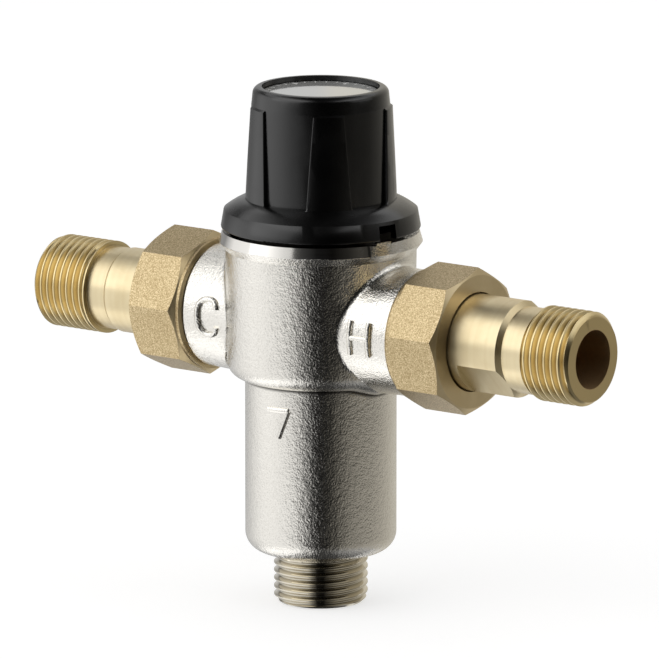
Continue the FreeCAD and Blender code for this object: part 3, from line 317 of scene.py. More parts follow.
@dataclass(frozen=True)
class PlatedCasting(Finish):
    """Nickel plate over a sand-cast body, bright on the collar and spigot that were turned."""

    name: str = "plated_casting"
    colour: Colour = (0.86, 0.835, 0.78)
    pit_colour: Colour = (0.79, 0.765, 0.71)
    pit_tone: tuple[float, float] = (0.45, 0.0)
    turned_colour: Colour = (0.76, 0.74, 0.70)
    # Near-black painted shade for the casting's pits along the lower barrel's bottom edge.
    edge_pit_shade_colour: Colour = (0.16, 0.15, 0.13)
    # Near-black painted shade for the crease under the upper barrel.
    crease_shade_colour: Colour = (0.10, 0.095, 0.085)
    corner: float = 51.05 * MM
    corner_radius: float = 16.85 * MM
    corner_reach: tuple[float, float] = (1.1 * MM, 0.2 * MM)
    low_edge: float = 12.3 * MM
    edge_reach: tuple[float, float] = (0.8 * MM, 0.3 * MM)
    hole_tone: tuple[float, float] = (0.34, 0.22)
    grain: float = 0.39 * MM
    depth: float = 0.098 * MM
    line_depth: float = 0.004 * MM
    roughness: float = 0.07
    turned_roughness: float = 0.06
    marks_share: float = 0.06
    collar_bottom: float = 81.6 * MM
    collar_fade: tuple[float, float] = (0.2 * MM, 0.35 * MM)
    ragged_scale: float = 900.0
    ragged_reach: float = 0.5 * MM
    spigot_top: float = 11.45 * MM
    spigot_fade: float = 0.1 * MM
    rough_patch: float = math.radians(101.0)
    patch_half: float = math.radians(36.0)
    patch_fade: float = 0.01

    def _turned(self, coat: Coat) -> Socket:
        """Tells turned surfaces from cast ones.

        Args:
            coat: Writer of the material.

        Returns:
            1 on turned surfaces and 0 on cast ones.
        """
        height = coat.split(coat.place)["Z"]
        ragged = coat.noise(coat.place, self.ragged_scale)
        level = coat.math("MULTIPLY_ADD", ragged, self.ragged_reach, height)
        collar = coat.step(level, *(self.collar_bottom + fade for fade in self.collar_fade))
        spigot = coat.step(height, self.spigot_top + self.spigot_fade, self.spigot_top)
        face = self.rough_patch - math.pi / 2
        flat = coat.vector("NORMALIZE", coat.vector("MULTIPLY", coat.place, FLAT)[0])[0]
        toward = coat.vector("DOT_PRODUCT", flat, (math.cos(face), math.sin(face), 0.0))["Value"]
        edge = math.cos(self.patch_half)
        patch = coat.step(toward, edge - self.patch_fade, edge + self.patch_fade)
        collar = coat.math("MULTIPLY", collar, coat.math("SUBTRACT", 1.0, patch))
        return coat.math("MAXIMUM", collar, spigot)

    def _crease_shade(self, coat: Coat) -> Socket:
        """Finds the crease under the upper barrel, where shade is painted in.

        Args:
            coat: Writer of the material.

        Returns:
            1 in the corner and 0 away from it.
        """
        xyz = coat.split(coat.place)
        radius = coat.vector("LENGTH", coat.vector("MULTIPLY", coat.place, FLAT)[0])["Value"]
        off_wall = coat.math("SUBTRACT", radius, self.corner_radius)
        rise = coat.step(coat.math("ABSOLUTE", xyz["Y"]), *LEDGE_RISE)
        ledge = coat.math("MULTIPLY_ADD", rise, LEDGE_LIFT, self.corner - LEDGE_LIFT)
        off_ledge = coat.math("ABSOLUTE", coat.math("SUBTRACT", xyz["Z"], ledge))
        reach = coat.math("ADD", coat.math("MAXIMUM", off_wall, 0.0), off_ledge)
        return coat.step(reach, *self.corner_reach)

    def dress(self, coat: Coat) -> None:
        """Writes the cast skin, its pits, the turned faces and painted shade in the crease and along the
        bottom edge.

        Args:
            coat: Writer of the material.
        """
        height = coat.split(coat.place)["Z"]
        turned = self._turned(coat)
        cast = coat.math("SUBTRACT", 1.0, turned)
        grain = CAST_GRAIN.on(coat, Vector=coat.place, Size=self.grain, Depth=self.depth)
        lines = LATHE_LINES.on(coat, Along=height)["Lines"]
        marks = HANDLING.on(coat, Vector=coat.place)["Marks"]
        pits = coat.math("MULTIPLY", coat.step(grain["Tone"], *self.pit_tone), cast)
        colour = coat.mix(pits, self.colour, self.pit_colour)
        # Painted shade: the casting's pits along the lower barrel's bottom edge turn near black.
        off_edge = coat.math("ABSOLUTE", coat.math("SUBTRACT", height, self.low_edge))
        edge_pit_shade = coat.math("MULTIPLY", coat.step(grain["Tone"], *self.hole_tone),
                          coat.step(off_edge, *self.edge_reach))
        colour = coat.mix(edge_pit_shade, colour, self.edge_pit_shade_colour)
        # Painted shade: the crease under the upper barrel turns near black.
        colour = coat.mix(self._crease_shade(coat), colour, self.crease_shade_colour)
        rough = coat.blend(turned, self.roughness, self.turned_roughness)
        relief = coat.math("ADD", coat.math("MULTIPLY", grain["Height"], cast),
                           coat.math("MULTIPLY", lines, self.line_depth))
        coat.dress({"Base Color": coat.mix(turned, colour, self.turned_colour), "Metallic": 1.0,
                    "Roughness": coat.math("MULTIPLY_ADD", marks, self.marks_share, rough)}, relief)


@dataclass(frozen=True)
class TurnedMetal(Finish):
    """Turned bar with fine rings about its own axis."""

    name: str = "turned_metal"
    colour: Colour = (0.8, 0.7, 0.5)
    streak_colour: Colour = (0.7, 0.6, 0.4)
    along: str = "X"
    roughness: float = 0.22
    streak: float = 0.08
    marks_share: float = 0.4
    spacing: float = 0.13 * MM
    depth: float = 0.006 * MM
    bore: float = 0.0
    # Darker colour that paints the shade inside the bore.
    bore_shade_colour: Colour = (0.55, 0.38, 0.20)
    bore_fade: tuple[float, float] = (0.12 * MM, 0.02 * MM)
    bore_roughness: float = 0.6
    anisotropy: float = 0.5
    quarter_turn: float = 0.25
    root: float = 0.0
    root_fade: float = 0.6 * MM
    root_shade_share: float = 0.86

    def dress(self, coat: Coat) -> None:
        """Writes the tool marks and, where asked, painted shade in the thread roots and in a rougher bore.

        Args:
            coat: Writer of the material.
        """
        xyz = coat.split(coat.place)
        lines = LATHE_LINES.on(coat, Along=xyz[self.along], Spacing=self.spacing)
        marks = HANDLING.on(coat, Vector=coat.place)["Marks"]
        shade = coat.math("MULTIPLY_ADD", marks, self.marks_share,
                          coat.math("MULTIPLY", lines["Streaks"], 1.0 - self.marks_share))
        colour = coat.mix(shade, self.colour, self.streak_colour)
        rough = coat.math("MULTIPLY_ADD", shade, self.streak, self.roughness)
        # Painted shade: the thread roots, below the given radius, get a darker colour.
        if self.root > 0.0:
            low = coat.step(self._radius(coat, xyz), self.root + self.root_fade, self.root)
            colour = coat.mix(low, colour, tuple(c * self.root_shade_share for c in self.streak_colour))
        # Painted shade: the bore gets a darker colour for the shade inside it, and a rougher surface.
        if self.bore > 0.0:
            inside = coat.step(self._radius(coat, xyz), *(self.bore + fade for fade in self.bore_fade))
            colour = coat.mix(inside, colour, self.bore_shade_colour)
            rough = coat.blend(inside, rough, self.bore_roughness)
        coat.dress({"Base Color": colour, "Roughness": rough, "Metallic": 1.0,
                    "Anisotropic": self.anisotropy, "Anisotropic Rotation": self.quarter_turn,
                    "Tangent": self._round_about(coat, xyz)},
                   coat.math("MULTIPLY", lines["Lines"], self.depth))

    def _radius(self, coat: Coat, xyz: Sockets) -> Socket:
        """Distance from the bar's own axis."""
        if self.along == "X":
            return coat.length(xyz["Y"], coat.math("SUBTRACT", xyz["Z"], PORT_HEIGHT))
        return coat.length(xyz["X"], xyz["Y"])

    def _round_about(self, coat: Coat, xyz: Sockets) -> Socket:
        """Finds the direction of the tool marks, round the bar's axis.

        Args:
            coat: Writer of the material.
            xyz: Object coordinates.

        Returns:
            The direction at each point.
        """
        if self.along == "X":
            drop = coat.math("SUBTRACT", PORT_HEIGHT, xyz["Z"])
            return coat.add("CombineXYZ", {"X": 0.0, "Y": drop, "Z": xyz["Y"]})[0]
        back = coat.math("MULTIPLY", xyz["Y"], -1.0)
        return coat.add("CombineXYZ", {"X": back, "Y": xyz["X"], "Z": 0.0})[0]


@dataclass(frozen=True)
class BlastedBrass(Finish):
    """Forged brass after shot blasting, with a fine sparkling grain."""

    name: str = "blasted_brass"
    colour: Colour = (0.555, 0.435, 0.245)
    low_colour: Colour = (0.40, 0.295, 0.15)
    low_tone: tuple[float, float] = (0.5, 0.0)
    high_colour: Colour = (0.74, 0.60, 0.37)
    high_tone: tuple[float, float] = (0.55, 1.0)
    grain: float = 0.28 * MM
    depth: float = 0.038 * MM
    roughness: float = 0.40
    tone_share: float = -0.08
    marks_size: float = 6.0 * MM
    marks_share: float = 0.15

    def dress(self, coat: Coat) -> None:
        """Writes the blasted grain and a little wear.

        Args:
            coat: Writer of the material.
        """
        grain = CAST_GRAIN.on(coat, Vector=coat.place, Size=self.grain, Depth=self.depth)
        marks = HANDLING.on(coat, Vector=coat.place, Size=self.marks_size)["Marks"]
        tone = grain["Tone"]
        toned = coat.mix(coat.step(tone, *self.low_tone), self.colour, self.low_colour)
        toned = coat.mix(coat.step(tone, *self.high_tone), toned, self.high_colour)
        worn = coat.math("MULTIPLY", marks, self.marks_share)
        coat.dress({"Base Color": coat.mix(worn, toned, self.low_colour), "Metallic": 1.0,
                    "Roughness": coat.math("MULTIPLY_ADD", tone, self.tone_share, self.roughness)},
                   grain["Height"])


@dataclass(frozen=True)
class Moulded(Finish):
    """Moulded plastic or rubber with a fine spark-eroded texture."""

    name: str = "moulded"
    colour: Colour = (0.012, 0.012, 0.013)
    worn_colour: Colour = (0.02, 0.02, 0.021)
    roughness: float = 0.4
    specular: float = 0.5
    grain: float = 0.25 * MM
    depth: float = 0.004 * MM
    marks_size: float = 12.0 * MM
    marks_share: float = 0.07

    def dress(self, coat: Coat) -> None:
        """Writes the moulded texture and faint marks of handling.

        Args:
            coat: Writer of the material.
        """
        grain = CAST_GRAIN.on(coat, Vector=coat.place, Size=self.grain, Depth=self.depth)
        marks = HANDLING.on(coat, Vector=coat.place, Size=self.marks_size)["Marks"]
        coat.dress({"Base Color": coat.mix(marks, self.colour, self.worn_colour),
                    "Roughness": coat.math("MULTIPLY_ADD", marks, self.marks_share, self.roughness),
                    "Specular IOR Level": self.specular}, grain["Height"])


@dataclass(frozen=True)
class Fibre(Finish):
    """Pressed fibre sheet, matte and lightly flecked."""

    name: str = "pressed_fibre"
    colour: Colour = (0.20, 0.05, 0.03)
    fleck_colour: Colour = (0.32, 0.12, 0.07)
    fleck_scale: float = 1800.0
    stretch: tuple[float, float, float] = (1.0, 3.0, 1.0)
    roughness: tuple[float, float] = (0.85, 0.7)
    depth: float = 0.02 * MM

    def dress(self, coat: Coat) -> None:
        """Writes the flecks.

        Args:
            coat: Writer of the material.
        """
        stretched = coat.add("Mapping", {"Vector": coat.place, "Scale": self.stretch})[0]
        flecks = coat.noise(stretched, self.fleck_scale, 4.0)
        mask = coat.step(flecks, 0.5, 0.68)
        coat.dress({"Base Color": coat.mix(mask, self.colour, self.fleck_colour),
                    "Roughness": coat.blend(mask, *self.roughness)},
                   coat.math("MULTIPLY", flecks, self.depth))


@dataclass(frozen=True)
class DialFoil(Finish):
    """Glossy silver foil with a fine brushed line and a thin dark rim."""

    name: str = "dial_foil"
    silver: Colour = (0.66, 0.66, 0.64)
    bright: Colour = (0.78, 0.78, 0.76)
    rim: Colour = (0.04, 0.04, 0.04)
    rim_inner: float = 12.6 * MM
    rim_fade: float = 0.05 * MM
    metallic: float = 0.6
    roughness: tuple[float, float] = (0.07, 0.3)
    spacing: float = 0.09 * MM
    depth: float = 0.0004 * MM

    def dress(self, coat: Coat) -> None:
        """Writes the brushed foil and its rim.

        Args:
            coat: Writer of the material.
        """
        xyz = coat.split(coat.place)
        rim = coat.step(coat.length(xyz["X"], xyz["Y"]), self.rim_inner - self.rim_fade,
                        self.rim_inner + self.rim_fade)
        brushed = LATHE_LINES.on(coat, Along=xyz["X"], Spacing=self.spacing)["Lines"]
        silver = coat.mix(brushed, self.silver, self.bright)
        coat.dress({"Base Color": coat.mix(rim, silver, self.rim), "Metallic": self.metallic,
                    "Roughness": coat.blend(rim, *self.roughness)},
                   coat.math("MULTIPLY", brushed, self.depth))


@dataclass(frozen=True)
class Ink(Finish):
    """Printed ink, slightly uneven."""

    name: str = "white_ink"
    colour: Colour = (0.82, 0.82, 0.80)
    thin_colour: Colour = (0.7, 0.7, 0.69)
    spread_scale: float = 3000.0
    roughness: float = 0.4
    spread_share: float = 0.2
    depth: float = 0.004 * MM

    def dress(self, coat: Coat) -> None:
        """Writes the ink's uneven spread.

        Args:
            coat: Writer of the material.
        """
        spread = coat.noise(coat.place, self.spread_scale)
        coat.dress({"Base Color": coat.mix(spread, self.colour, self.thin_colour),
                    "Roughness": coat.math("MULTIPLY_ADD", spread, self.spread_share, self.roughness)},
                   coat.math("MULTIPLY", spread, self.depth))


BODY_PLATE = PlatedCasting()
SPIGOT_PLATE = TurnedMetal(
    "spigot_plate", (0.80, 0.75, 0.64), (0.70, 0.65, 0.54), "Z", roughness=0.045, streak=0.03,
    spacing=0.1 * MM, depth=0.0015 * MM, bore=7.2 * MM, bore_shade_colour=(0.20, 0.16, 0.12), anisotropy=0.2,
    root=9.4 * MM, root_shade_share=0.85)
NUT_BLASTED = BlastedBrass()
NUT_MACHINED = TurnedMetal(
    "machined_brass", (0.82, 0.68, 0.43), (0.68, 0.54, 0.31), "X", roughness=0.33, streak=0.1,
    spacing=0.16 * MM, depth=0.008 * MM)
TAIL_BRASS = TurnedMetal(
    "turned_brass", (0.87, 0.75, 0.495), (0.78, 0.64, 0.385), "X", roughness=0.29, streak=0.10,
    bore=6.5 * MM)
THREAD_BRASS = TurnedMetal(
    "thread_brass", (0.90, 0.75, 0.44), (0.76, 0.60, 0.31), "X", roughness=0.26, streak=0.10,
    spacing=0.11 * MM, depth=0.004 * MM, bore=6.5 * MM, anisotropy=0.4, root=9.4 * MM)
KNOB_BLACK = Moulded("knob_black", (0.0006, 0.0006, 0.0007), (0.0011, 0.0011, 0.0012), 0.21, 0.8)
FOIL = DialFoil()
WHITE_INK = Ink()
INNER_BRASS = TurnedMetal("inner_brass", (0.72, 0.56, 0.30), (0.55, 0.40, 0.20), "Z", 0.3, 0.1)
INNER_STEEL = TurnedMetal("bright_steel", (0.62, 0.62, 0.61), (0.5, 0.5, 0.49), "Z", 0.25, 0.08)
# Painted shade: the bonnet, seen only in the gap under the knob's skirt, is coloured near black for the
# shadow there.
BONNET_SHADE = TurnedMetal("bonnet_painted_shade", (0.045, 0.042, 0.038), (0.02, 0.019, 0.017), "Z", 0.45, 0.1)
WHITE_PLASTIC = Moulded("white_plastic", (0.70, 0.69, 0.65), (0.62, 0.61, 0.56), 0.4, 0.5)
RUBBER = Moulded("black_rubber", (0.02, 0.02, 0.02), (0.035, 0.035, 0.034), 0.6, 0.4)
GASKET_FIBRE = Fibre()

INNER_FINISHES: dict[str, Finish] = {
    "cold_seat_ring": INNER_BRASS, "shuttle": WHITE_PLASTIC, "shuttle_o_ring": RUBBER,
    "element_capsule": INNER_BRASS, "element_piston": INNER_STEEL, "return_spring": INNER_STEEL,
    "adjusting_cup": INNER_BRASS, "cup_snap_ring": INNER_STEEL, "pressure_plate": INNER_STEEL,
    "overload_spring": INNER_STEEL, "bonnet": BONNET_SHADE, "bonnet_o_ring": RUBBER,
    "spindle": INNER_BRASS, "spindle_o_ring_lower": RUBBER, "spindle_o_ring_upper": RUBBER,
    "spindle_washer": WHITE_PLASTIC, "spindle_snap_ring": INNER_STEEL, "knob_screw": INNER_STEEL,
    "union_gasket": GASKET_FIBRE, "strainer": INNER_STEEL, "check_housing": WHITE_PLASTIC,
    "check_poppet": WHITE_PLASTIC, "check_spring": INNER_STEEL, "check_o_ring": RUBBER,
}


# ---------------------------------------------------------------- mesh helpers

def put(name: str, data: bpy.types.ID) -> bpy.types.Object:
    """New object in the scene that shows the given data."""
    thing = bpy.data.objects.new(name, data)
    bpy.context.scene.collection.objects.link(thing)
    return thing


def mesh_of(name: str, shape: Shape, material: bpy.types.Material) -> bpy.types.Mesh:
    """Makes a mesh of a bmesh.

    Args:
        name: The mesh's name.
        shape: The bmesh, freed here.
        material: The mesh's first material.

    Returns:
        The new mesh.
    """
    mesh = bpy.data.meshes.new(name)
    shape.to_mesh(mesh)
    shape.free()
    mesh.materials.append(material)
    return mesh


def new_piece(name: str, shape: Shape, finish: Finish, body: str,
              smooth_angle: float = 35.0) -> bpy.types.Object:
    """Makes an object of a bmesh, smooth up to an angle, and lets it ride on a body.

    Args:
        name: The piece's name.
        shape: Its bmesh, freed here.
        finish: Its finish.
        body: The body that it rides on.
        smooth_angle: Edges sharper than this, in degrees, stay hard.

    Returns:
        The new object.
    """
    mesh = mesh_of(name, shape, finish.material())
    custom = mesh.attributes.get("custom_normal")
    if custom is not None:
        mesh.attributes.remove(custom)
    mesh.shade_smooth()
    mesh.set_sharp_from_angle(angle=math.radians(smooth_angle))
    piece = put(name, mesh)
    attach(piece, body)
    log.info("%s: %d faces on %s", name, len(mesh.polygons), body)
    return piece


def paint_node(node: bpy.types.Object, finish: Finish) -> None:
    """Gives a CAD node one finish, and nothing else."""
    node.data.materials.clear()
    node.data.materials.append(finish.material())
    log.info("%s: %s", node.name, finish.name)


def copy_of_node(node: str) -> Shape:
    """Copies a CAD node's mesh.

    Args:
        node: The node's name.

    Returns:
        The copy, merged, with its flat faces made whole.
    """
    shape = bmesh.new()
    shape.from_mesh(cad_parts[node].data)
    bmesh.ops.remove_doubles(shape, verts=shape.verts, dist=MERGE)
    for face in shape.faces:
        face.material_index = 0
    bmesh.ops.dissolve_limit(shape, angle_limit=math.radians(0.4), verts=shape.verts, edges=shape.edges,
                             delimit=set())
    return shape


def eased(value: float, low: float, high: float) -> float:
    """0 at low and 1 at high, with a smooth change between them."""
    share = min(max((value - low) / (high - low), 0.0), 1.0)
    return share * share * (3.0 - 2.0 * share)


def slice_at(shape: Shape, point: Vector, normal: Vector, **clear: bool) -> list:
    """Cuts a bmesh along a plane.

    Args:
        shape: The bmesh.
        point: A point on the plane.
        normal: The plane's normal.
        clear: Which side goes, as clear_outer or clear_inner.

    Returns:
        The cut's vertices and edges.
    """
    return bmesh.ops.bisect_plane(shape, geom=[*shape.verts, *shape.edges, *shape.faces], dist=1e-7,
                                  plane_co=point, plane_no=normal, **clear)["geom_cut"]


def cut_away(shape: Shape, point: Vector, normal: Vector) -> None:
    """Removes what lies past a plane and closes the cut between its two rings.

    Args:
        shape: The bmesh.
        point: A point on the plane.
        normal: The plane's normal, toward what goes.
    """
    cut = slice_at(shape, point, normal, clear_outer=True)
    rim = [e for e in cut if isinstance(e, bmesh.types.BMEdge) and e.is_valid and e.is_boundary]
    bmesh.ops.bridge_loops(shape, edges=rim)


def add_curve(shape: Shape, curve: bpy.types.Curve, *moves: Matrix) -> None:
    """Adds a curve's mesh to a bmesh.

    Args:
        shape: The bmesh.
        curve: The curve, removed here.
        moves: Transforms of its mesh, one after the other.
    """
    holder = bpy.data.objects.new(curve.name, curve)
    mesh = bpy.data.meshes.new_from_object(holder)
    for move in moves:
        mesh.transform(move)
    shape.from_mesh(mesh)
    bpy.data.objects.remove(holder)
    bpy.data.curves.remove(curve)
    bpy.data.meshes.remove(mesh)


def add_bevel(piece: bpy.types.Object, width: float, angle: float = 30.0) -> None:
    """Rounds a piece's hard edges by a live Bevel modifier.

    Args:
        piece: The piece.
        width: Width of the rounding.
        angle: Edges sharper than this, in degrees, are rounded.
    """
    bevel = piece.modifiers.new("edges", "BEVEL")
    bevel.width = width
    bevel.segments = 2
    bevel.limit_method = "ANGLE"
    bevel.angle_limit = math.radians(angle)
    bevel.profile = 0.5
    bevel.harden_normals = True


# ---------------------------------------------------------------- threads

@dataclass(frozen=True)
class PipeThread:
    """Right-hand half-inch parallel pipe thread, built along +Z up to its open end."""

    start: float
    end: float
    bore: float
    neck: float
    crest: float = 10.478 * MM
    pitch: float = 1.814 * MM
    depth: float = 1.162 * MM
    bevel: float = 1.1 * MM
    run_in: float = 1.2
    run_out: float = 0.0
    steps: int = 96
    root_flat: float = 1 / 6
    steepness: float = 1.5
    softness: float = 0.4
    form: tuple[float, ...] = (
        0.0, 0.05, 0.09, 0.14, 0.25, 0.36, 0.41, 0.45, 0.5, 0.55, 0.59, 0.64, 0.75, 0.86, 0.91, 0.95)

    def _radius(self, turn: float) -> float:
        """Finds the rounded thread form's radius.

        Args:
            turn: Fraction of a pitch, 0 at the root.

        Returns:
            The radius there.
        """
        flank = min(max((1.0 - abs(2.0 * turn - 1.0) - self.root_flat) * self.steepness, 0.0), 1.0)
        soft = 0.5 - 0.5 * math.cos(math.pi * flank)
        return self.crest - self.depth * (1.0 - ((1.0 - self.softness) * flank + self.softness * soft))

    def _zigzag(self, shape: Shape) -> None:
        """Sweeps the thread form through one turn, so that the turns join into one helix.

        Args:
            shape: The bmesh that it is drawn in.
        """
        turns = math.ceil((self.end - self.start) / self.pitch) + 2
        low = self.start - self.pitch * 1.5
        spots = [(self._radius(p), low + (t + p) * self.pitch) for t in range(turns + 1) for p in self.form]
        line = [shape.verts.new((radius, 0.0, height)) for radius, height in spots]
        edges = [shape.edges.new(pair) for pair in zip(line, line[1:])]
        bmesh.ops.spin(shape, geom=[*line, *edges], axis=UP, cent=CENTRE, angle=FULL_TURN,
                       steps=self.steps, dvec=(0, 0, self.pitch / self.steps), use_merge=False)
        bmesh.ops.remove_doubles(shape, verts=shape.verts, dist=self.pitch * 2e-3)

    def build(self) -> Shape:
        """Draws the thread.

        Returns:
            A closed tube with the thread outside and its bore inside.
        """
        shape = bmesh.new()
        self._zigzag(shape)
        slice_at(shape, UP * self.start, UP, clear_inner=True)
        slice_at(shape, UP * (self.end - self.bevel), UP)
        slice_at(shape, UP * self.end, UP, clear_outer=True)
        tip = self.crest - self.bevel
        for vert in shape.verts:
            radius = vert.co.xy.length
            rise = vert.co.z - self.start
            limit = min(tip + (self.end - vert.co.z), self.neck + rise * self.run_in)
            floor = self.crest - max(rise - self.run_out, 0.0) if self.run_out else 0.0
            vert.co.xy *= min(max(radius, floor), limit) / radius
        self._close(shape)
        bmesh.ops.recalc_face_normals(shape, faces=shape.faces)
        return shape

    def _close(self, shape: Shape) -> None:
        """Adds the end faces and the bore.

        Args:
            shape: The thread's bmesh.
        """
        rings = []
        for level in (self.start, self.end):
            rim = [e for e in shape.edges
                   if e.is_boundary and all(abs(v.co.z - level) < MERGE for v in e.verts)]
            grown = bmesh.ops.extrude_edge_only(shape, edges=rim)["geom"]
            for vert in (g for g in grown if isinstance(g, bmesh.types.BMVert)):
                vert.co.xy *= self.bore / vert.co.xy.length
            rings += [g for g in grown if isinstance(g, bmesh.types.BMEdge) and g.is_boundary]
        bmesh.ops.bridge_loops(shape, edges=rings)


# ---------------------------------------------------------------- raised letters

@dataclass(frozen=True)
class RaisedMark:
    """A cast letter or numeral that stands a little proud of a round surface.

    Each stroke runs through (across, up) points in millimetres.
    """

    name: str
    strokes: tuple[Pairs, ...]
    wrap: Callable[[float, float, float], Vector]
    width: float = 1.25 * MM
    proud: float = 0.6 * MM
    facet: float = 0.5 * MM

    def _stroke(self, points: Pairs) -> bpy.types.Curve:
        """Draws one stroke as a round bead.

        Args:
            points: The stroke's points.

        Returns:
            The bead's curve.
        """
        curve = bpy.data.curves.new(self.name, "CURVE")
        curve.dimensions = "3D"
        curve.bevel_depth = self.width / 2
        curve.bevel_resolution = 3
        curve.resolution_u = 10
        curve.use_fill_caps = True
        spline = curve.splines.new("NURBS")
        spline.points.add(len(points) - 1)
        for spot, (across, up) in zip(spline.points, points):
            spot.co = (across * MM, up * MM, 0.0, 1.0)
        spline.order_u = min(3, len(points))
        spline.use_endpoint_u = True
        return curve

    def build(self) -> Shape:
        """Wraps the strokes on the surface.

        Returns:
            The mark's bmesh.
        """
        shape = bmesh.new()
        for points in self.strokes:
            add_curve(shape, self._stroke(points))
        bmesh.ops.remove_doubles(shape, verts=shape.verts, dist=MERGE)
        bmesh.ops.recalc_face_normals(shape, faces=shape.faces)
        bmesh.ops.subdivide_edges(
            shape, edges=[e for e in shape.edges if e.calc_length() > self.facet], cuts=3,
            use_grid_fill=True)
        for vert in shape.verts:
            lift = vert.co.z / (self.width / 2) * self.proud
            vert.co = self.wrap(vert.co.x, vert.co.y, lift)
        bmesh.ops.recalc_face_normals(shape, faces=shape.faces)
        return shape


LETTER_C = (((2.45, 2.0), (2.3, 3.6), (0.9, 4.3), (-0.9, 4.2), (-2.5, 2.9), (-2.75, 0.3), (-2.5, -2.3),
             (-1.0, -3.9), (0.9, -4.0), (2.2, -3.4), (2.5, -1.9)),)
LETTER_H = (((-2.45, 4.2), (-2.45, -3.4)), ((2.45, 4.2), (2.45, -3.4)), ((-2.45, 0.4), (2.45, 0.4)))
SEVEN = (((-2.5, 3.0), (2.75, 3.05)), ((2.75, 3.05), (0.35, -3.15)))


# ---------------------------------------------------------------- sub-assemblies

@dataclass
class ValveBody:
    """The plated casting with its threaded outlet and raised marks."""

    outlet_cut: float = 11.2 * MM
    outlet_run_in: float = 0.9
    low_end: tuple[float, float] = (10.4 * MM, 15.2 * MM)
    low_lift: float = 1.1 * MM
    ledge: tuple[float, float] = (49.2 * MM, 53.1 * MM)
    ledge_fade: float = 4.0 * MM
    rim: tuple[float, float] = (83.0 * MM, 84.15 * MM)
    rim_top: float = 0.15 * MM
    rim_radius: float = 21.9 * MM
    rim_drop: float = 0.75 * MM
    edge: float = 0.22 * MM
    lug_turn: float = math.radians(74.5)
    lug_half: float = math.radians(7.0)
    outlet_bore: float = 7.2 * MM
    relief: float = 9.3 * MM
    barrel: float = 16.85 * MM
    upper: float = 21.3 * MM
    boss: float = 14.4 * MM
    letter_reach: float = 20.9 * MM
    seven_turn: float = math.radians(2.0)
    seven_height: float = 43.1 * MM
    slot: str = "plated_body"
    body: str = "housing"

    def _fit_low_end(self, shape: Shape) -> None:
        """Raises the lower barrel's round and underside in the casting's bmesh."""
        for vert in shape.verts:
            if self.low_end[0] < vert.co.z < self.low_end[1] and vert.co.xy.length > self.relief - TINY:
                vert.co.z += self.low_lift

    def _fit_ledge(self, shape: Shape) -> None:
        """Raises the ledge under the upper barrel, and leaves it low where it meets the inlets.

        Args:
            shape: The casting's bmesh.
        """
        low, high = self.ledge
        for vert in shape.verts:
            off_port = math.hypot(vert.co.y, vert.co.z - PORT_HEIGHT)
            if vert.co.z < low or off_port < self.boss - TINY:
                continue
            if not self.barrel - TINY < vert.co.xy.length < self.upper + TINY:
                continue
            fade = eased(vert.co.z, high + self.ledge_fade, high)
            vert.co.z += LEDGE_LIFT * eased(abs(vert.co.y), *LEDGE_RISE) * fade

    def _fit_rim(self, shape: Shape) -> None:
        """Widens the bevel on the collar's top edge, except beside the lug.

        Args:
            shape: The casting's bmesh.
        """
        low, high = self.rim
        for vert in shape.verts:
            turn = math.atan2(vert.co.x, -vert.co.y) - self.lug_turn
            beside_lug = abs(turn) < self.lug_half
            if not low < vert.co.z < high or vert.co.xy.length < self.rim_radius or beside_lug:
                continue
            if high - vert.co.z < self.rim_top:
                vert.co.xy *= self.rim_radius / vert.co.xy.length
            else:
                vert.co.z -= self.rim_drop

    def casting(self) -> None:
        """Makes the casting above its outlet thread."""
        shape = copy_of_node("valve_body")
        self._fit_low_end(shape)
        self._fit_ledge(shape)
        self._fit_rim(shape)
        cut_away(shape, UP * self.outlet_cut, -UP)
        piece = new_piece("casting", shape, BODY_PLATE, self.body)
        add_bevel(piece, self.edge)
        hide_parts("valve_body")

    def outlet_thread(self) -> None:
        """Makes the mixed-water outlet's thread, turned down so that its open end is at z = 0."""
        shape = PipeThread(start=-self.outlet_cut, end=0.0, bore=self.outlet_bore, neck=self.relief,
                           run_in=self.outlet_run_in).build()
        bmesh.ops.rotate(shape, verts=shape.verts, cent=CENTRE, matrix=Matrix.Rotation(math.pi, 3, "X"))
        piece = new_piece("outlet_thread", shape, SPIGOT_PLATE, self.body)
        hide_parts("valve_body")

    def _on_boss(self, across: float, up: float, lift: float, side: Side) -> Vector:
        """Places a point of a mark on the front of an inlet boss.

        Args:
            across: Distance to the right of the mark's middle.
            up: Distance up along the surface.
            lift: Height above the surface.
            side: The inlet.

        Returns:
            The point.
        """
        turn = up / self.boss
        reach = self.boss + lift
        return Vector((side.value * self.letter_reach + across, -reach * math.cos(turn),
                       PORT_HEIGHT + reach * math.sin(turn)))

    def _on_barrel(self, across: float, up: float, lift: float) -> Vector:
        """Places a point of a mark on the lower barrel.

        Args:
            across: Distance to the right along the surface.
            up: Distance above the mark's middle.
            lift: Height above the surface.

        Returns:
            The point.
        """
        turn = self.seven_turn + across / self.barrel
        reach = self.barrel + lift
        return Vector((reach * math.sin(turn), -reach * math.cos(turn), self.seven_height + up))

    def marks(self) -> None:
        """Makes C and H on the inlets and a 7 on the lower barrel."""
        for plan in (RaisedMark("mark_c", LETTER_C, partial(self._on_boss, side=Side.COLD)),
                     RaisedMark("mark_h", LETTER_H, partial(self._on_boss, side=Side.HOT)),
                     RaisedMark("mark_7", SEVEN, self._on_barrel)):
            new_piece(plan.name, plan.build(), BODY_PLATE, self.body)

    def build(self) -> None:
        """Makes every piece of the body."""
        self.casting()
        self.outlet_thread()
        self.marks()


